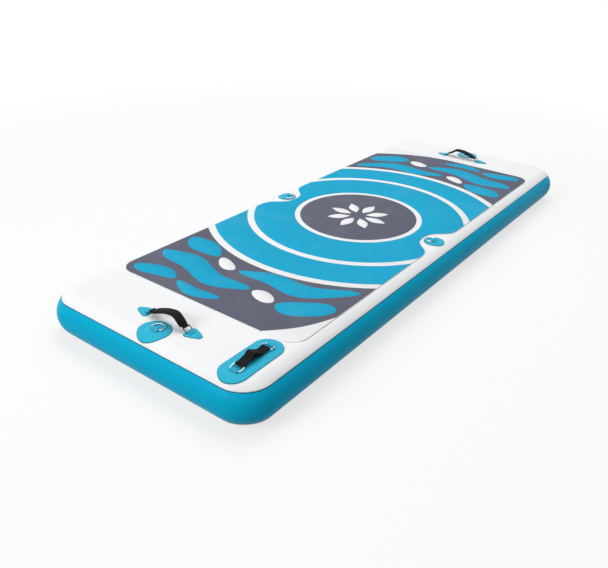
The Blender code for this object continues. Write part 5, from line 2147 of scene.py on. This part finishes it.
@dataclass
class InflationValve:
    """The valve in the far end wall. Heights run outwards from the wall's outermost line."""

    hull: Hull
    boot_radius: float = 29.7 * MM
    recess: float = 26 * MM
    seat: float = -12 * MM
    boot_wall: float = 2 * MM
    bore: float = 17.3 * MM
    steps: int = 96
    notches: int = 12
    notch_depth: float = 1.5 * MM
    skirt: float = 22 * MM
    spokes: int = 3
    spoke_size: Triple = (6.4 * MM, 2 * MM, 2 * MM)
    spoke_place: Triple = (7.1 * MM, 0.0, -28.7 * MM)
    coils: int = 5
    coil_radius: float = 4.25 * MM
    coil_wire: float = 0.5 * MM
    coil_span: Point = (-6.8 * MM, -22 * MM)
    coil_steps: int = 24
    # Profiles of turned pieces: radii and heights in millimetres
    NECK = (
        *((20, -3), (20, -7), (25, -7), (25, -10), (16.7, -10), (16.7, -40)),
        *((13, -40), (13, -30), (10, -30), (10, -27.4), (13, -27.4), (13, -3)),
    )
    HUB = ((3.5, -22), (3.5, -27.4), (4.4, -27.4), (4.4, -30), (2.7, -30), (2.7, -22))
    GASKET = ((17.3, -10.3), (24.7, -10.3), (24.7, -11.7), (17.3, -11.7))
    NUT = ((17, -14.3), (23, -14.3), (23, -20.3), (17, -20.3))
    STEM = (
        *((0, -4.2), (5.4, -4.2), (6, -4.8), (6, -6.2), (2.4, -6.2), (2.4, -30.3)),
        *((12.4, -30.3), (12.4, -32.3), (0, -32.3)),
    )
    CAP = (
        *((0, -1), (13, -1), (14, -1.5), (15, -1), (22.6, -1), (23.6, -1.4), (24, -2.4)),
        *((24, -6.7), (20.3, -6.7), (20.3, -2.7), (11, -2.7), (11, -6.8), (12.3, -6.8)),
        *((12.3, -7.8), (8.5, -7.8), (8.5, -2.7), (0, -2.7)),
    )
    SEAL = circle(0.7, 12, (12, -5.8))

    @property
    def place(self) -> Matrix:
        """The valve's frame, with z pointing out of the mat."""
        return Matrix.Translation(self.hull.valve_place) @ Matrix.Rotation(-math.pi / 2, 4, "X")

    def turned(self, profile: Sequence[Point], place: Matrix, closed: bool = True) -> BMesh:
        """Turns a profile.

        Args:
            profile: Its radii and heights in millimetres.
            place: The frame that the shape stands in.
            closed: Whether the profile closes on itself.

        Returns:
            The shape.
        """
        points = [(radius * MM, height * MM) for radius, height in profile]
        shape = bmesh.new()
        turn_profile(shape, points + points[:1] if closed else points, self.steps, place)
        return shape

    def ring(self, node: str, finish: Finish, body: str, profile: Sequence[Point]) -> None:
        """Makes a turned piece of one closed profile."""
        publish(self.turned(profile, self.place), node, finish, body, [node], TURNED_SHARP)

    def make_boot(self) -> None:
        """Makes the welded boot, whose rim follows the wall's curve."""
        shape = bmesh.new()
        back = self.seat - self.boot_wall
        profile = [
            (self.bore, self.seat),
            (self.recess - 1 * MM, self.seat),
            (self.recess, self.seat + 1 * MM),
            (self.recess, -1.2 * MM),
            (self.recess + 0.8 * MM, 0.0),
            (self.boot_radius - 0.5 * MM, 0.0),
            (self.boot_radius, -0.6 * MM),
            (self.boot_radius, back),
            (self.bore, back),
            (self.bore, self.seat),
        ]
        turn_profile(shape, profile, self.steps, Matrix.Identity(4))
        radius = self.hull.wall_radius
        for vert in shape.verts:
            if vert.co.z > -2 * MM:
                vert.co.z -= radius - math.sqrt(radius**2 - vert.co.y**2)
        bmesh.ops.transform(shape, matrix=self.place, verts=shape.verts)
        publish(shape, "valve_boot", Finish.PATCH, "root", ["valve_boot"], TURNED_SHARP)

    def make_cap(self) -> None:
        """Makes the screw cap, with finger notches round its skirt."""
        shape = self.turned(self.CAP, Matrix.Identity(4), False)
        for vert in shape.verts:
            radius = vert.co.xy.length
            if radius > self.skirt:
                turn = math.atan2(vert.co.y, vert.co.x)
                dip = max(0.0, math.cos(turn * self.notches)) ** 3 * self.notch_depth
                vert.co.xy *= (radius - dip) / radius
        bmesh.ops.transform(shape, matrix=self.place, verts=shape.verts)
        publish(shape, "valve_cap", Finish.VALVE, "cap", ["valve_cap"], TURNED_SHARP)

    def make_body(self) -> None:
        """Makes the neck, flange and barrel, with the hub that guides the plunger."""
        shape = bmesh.new()
        for profile in (self.NECK, self.HUB):
            add_copy(shape, self.turned(profile, self.place))
        for turn in angles(self.spokes):
            spoke = bmesh.new()
            bmesh.ops.create_cube(spoke, size=1.0)
            bmesh.ops.scale(spoke, vec=self.spoke_size, verts=spoke.verts)
            bmesh.ops.translate(spoke, vec=self.spoke_place, verts=spoke.verts)
            place = self.place @ Matrix.Rotation(turn, 4, "Z")
            bmesh.ops.transform(spoke, matrix=place, verts=spoke.verts)
            add_copy(shape, spoke)
        publish(shape, "valve_body", Finish.VALVE, "root", ["valve_body"], TURNED_SHARP)

    def make_spring(self) -> None:
        """Makes the coil round the plunger's stem."""
        top, bottom = self.coil_span
        count = self.coils * self.coil_steps
        points = []
        for step in range(count + 1):
            turn, height = math.tau * step / self.coil_steps, top + (bottom - top) * step / count
            x, y = self.coil_radius * math.cos(turn), self.coil_radius * math.sin(turn)
            points.append(self.place @ Vector((x, y, height)))
        route = Route(points, self.place.to_3x3() @ Vector((0.0, 0.0, 1.0)))
        section = circle(self.coil_wire, 8)
        lay_tape("valve_spring", Finish.STEEL, "plunger", route, section, 1.0 * MM)

    def build(self) -> None:
        """Makes every piece of the valve."""
        self.make_boot()
        self.make_body()
        self.ring("valve_gasket", Finish.RUBBER, "root", self.GASKET)
        self.ring("valve_nut", Finish.VALVE, "root", self.NUT)
        stem = self.turned(self.STEM, self.place, False)
        publish(stem, "valve_plunger", Finish.VALVE, "plunger", ["valve_plunger"], TURNED_SHARP)
        self.make_spring()
        self.make_cap()
        self.ring("cap_seal", Finish.RUBBER, "cap_carrier", self.SEAL)


def add_copy(shape: BMesh, part: BMesh) -> None:
    """Adds a part's faces to a shape, and frees the part.

    Args:
        shape: The shape that grows.
        part: The part, which is used up.
    """
    mesh = bpy.data.meshes.new("part")
    part.to_mesh(mesh)
    part.free()
    shape.from_mesh(mesh)
    bpy.data.meshes.remove(mesh)


# Studio


@dataclass(frozen=True)
class Lamp:
    """A soft square lamp."""

    name: str
    place: Triple
    aim: Triple
    size: float
    power: float

    def hang(self) -> None:
        """Hangs the lamp at its place."""
        data = bpy.data.lights.new(self.name, "AREA")
        data.shape = "SQUARE"
        data.size = self.size
        data.energy = self.power
        lamp = bpy.data.objects.new(self.name, data)
        lamp.location = self.place
        way = Vector(self.aim) - Vector(self.place)
        lamp.rotation_euler = way.to_track_quat("-Z", "Y").to_euler()
        bpy.context.scene.collection.objects.link(lamp)


@dataclass
class Studio:
    """The floor, the light and the camera."""

    camera_place: Triple = (1.3343, -2.2051, 1.2272)
    camera_turn: Triple = (61.180, -1.603, 36.932)
    lens: float = 38.824
    sensor: float = 36.0
    floor_half: float = 14.0
    floor_gap: float = 0.2 * MM
    floor_colour: Colour = (0.92, 0.92, 0.92)
    floor_bounce: Colour = (0.42, 0.42, 0.42)
    floor_white_share: float = 0.70
    fade_place: float = 2.6
    fade_width: float = 2.2
    ambient: float = 0.31
    lamps: tuple[Lamp, ...] = (
        Lamp("key", (-1.8, -6.0, 3.7), (0.0, -0.2, 0.0), 3.2, 212.0),
        Lamp("top", (-0.6, 1.2, 5.0), (0.0, 0.3, 0.0), 4.5, 165.0),
    )

    def make_camera(self) -> None:
        """Puts the camera at the photograph's angle."""
        data = bpy.data.cameras.new("camera")
        data.lens = self.lens
        data.sensor_width = self.sensor
        camera = bpy.data.objects.new("camera", data)
        camera.location = self.camera_place
        camera.rotation_euler = Euler([math.radians(turn) for turn in self.camera_turn])
        bpy.context.scene.collection.objects.link(camera)
        bpy.context.scene.camera = camera

    def make_world(self) -> None:
        """Makes an even grey room that the camera, metal and glass see as white."""
        world = bpy.data.worlds.new("room")
        bpy.context.scene.world = world
        world.use_nodes = True
        nodes, links = world.node_tree.nodes, world.node_tree.links
        plain, white = nodes["Background"], nodes.new("ShaderNodeBackground")
        for light, strength in ((plain, self.ambient), (white, 1.0)):
            light.inputs["Color"].default_value = WHITE
            light.inputs["Strength"].default_value = strength
        mix = nodes.new("ShaderNodeMixShader")
        links.new(seen_rays(nodes, links), mix.inputs[0])
        links.new(plain.outputs[0], mix.inputs[1])
        links.new(white.outputs[0], mix.inputs[2])
        links.new(mix.outputs[0], nodes["World Output"].inputs["Surface"])

    def make_floor(self) -> None:
        """Makes the pale floor, which keeps the mat's shadow and fades to white far from it."""
        shape = bmesh.new()
        bmesh.ops.create_grid(shape, x_segments=1, y_segments=1, size=self.floor_half)
        bmesh.ops.translate(shape, verts=shape.verts, vec=(0.0, 0.0, -self.floor_gap))
        mesh = bpy.data.meshes.new("floor")
        shape.to_mesh(mesh)
        shape.free()
        floor = bpy.data.objects.new("floor", mesh)
        bpy.context.scene.collection.objects.link(floor)
        board = Board("floor")
        seen = Wire(board, seen_rays(board.nodes, board.links))
        colour = board.mix(seen, self.floor_bounce, self.floor_colour)
        board.finish(base_color=colour, roughness=0.9, specular_ior_level=0.1)
        x, y, _ = board.axes()
        away = ((x * x + y * y) ** 0.5).above(self.fade_place, self.fade_width)
        lift = away * (1.0 - self.floor_white_share) + self.floor_white_share
        white = board.add("Emission", {}, {"Color": WHITE, "Strength": 1.0})
        shaded_floor = Wire(board, board.shader.outputs[0])
        mixed = board.add("MixShader", {}, {0: lift * seen, 1: shaded_floor, 2: white})
        board.join(mixed, board.nodes["Material Output"].inputs["Surface"])
        mesh.materials.append(board.material)

    def build(self) -> None:
        """Makes the whole studio."""
        bpy.context.scene.view_settings.view_transform = "Standard"
        self.make_camera()
        self.make_world()
        for lamp in self.lamps:
            lamp.hang()
        self.make_floor()


def seen_rays(nodes: Nodes, links: NodeLinks) -> NodeSocket:
    """Which rays see the white room: those of the camera, of gloss and of glass.

    Args:
        nodes: The tree's nodes.
        links: The tree's links.

    Returns:
        A value of 1 for those rays.
    """
    path = nodes.new("ShaderNodeLightPath")
    result = path.outputs["Is Camera Ray"]
    for name in ("Is Glossy Ray", "Is Transmission Ray"):
        larger = nodes.new("ShaderNodeMath")
        larger.operation = "MAXIMUM"
        links.new(result, larger.inputs[0])
        links.new(path.outputs[name], larger.inputs[1])
        result = larger.outputs[0]
    return result


def main() -> None:
    """Builds the mat and its studio, in order."""
    logging.basicConfig(level=logging.INFO, format="%(message)s")
    hull = Hull()
    Studio().build()
    hull.build()
    DeckPad().build()
    fittings = Fittings(hull)
    CarryHandle(fittings, "near", (12 * MM, -1080 * MM), 0.0, Arch.NEAR).build()
    CarryHandle(fittings, "far", (-8 * MM, 1035 * MM), math.pi, Arch.FAR).build()
    for place, bar, turn, patch_middle, patch_radius in (
        ("near", (12, -1133), math.pi, (12, -1139), 52.5),
        ("far", (-8, 1092), 0.0, (-8, 1100), 50),
        ("right", (361, -20), -math.pi / 2, (366, -20), 40),
        ("left", (-361, -20), math.pi / 2, (-366, -20), 40),
    ):
        bar, patch_middle = [(x * MM, y * MM) for x, y in (bar, patch_middle)]
        DRing(fittings, place, bar, turn, patch_middle, patch_radius * MM).build()
    PaddleStrap(fittings).build()
    InflationValve(hull).build()


if __name__ == "__main__":
    main()
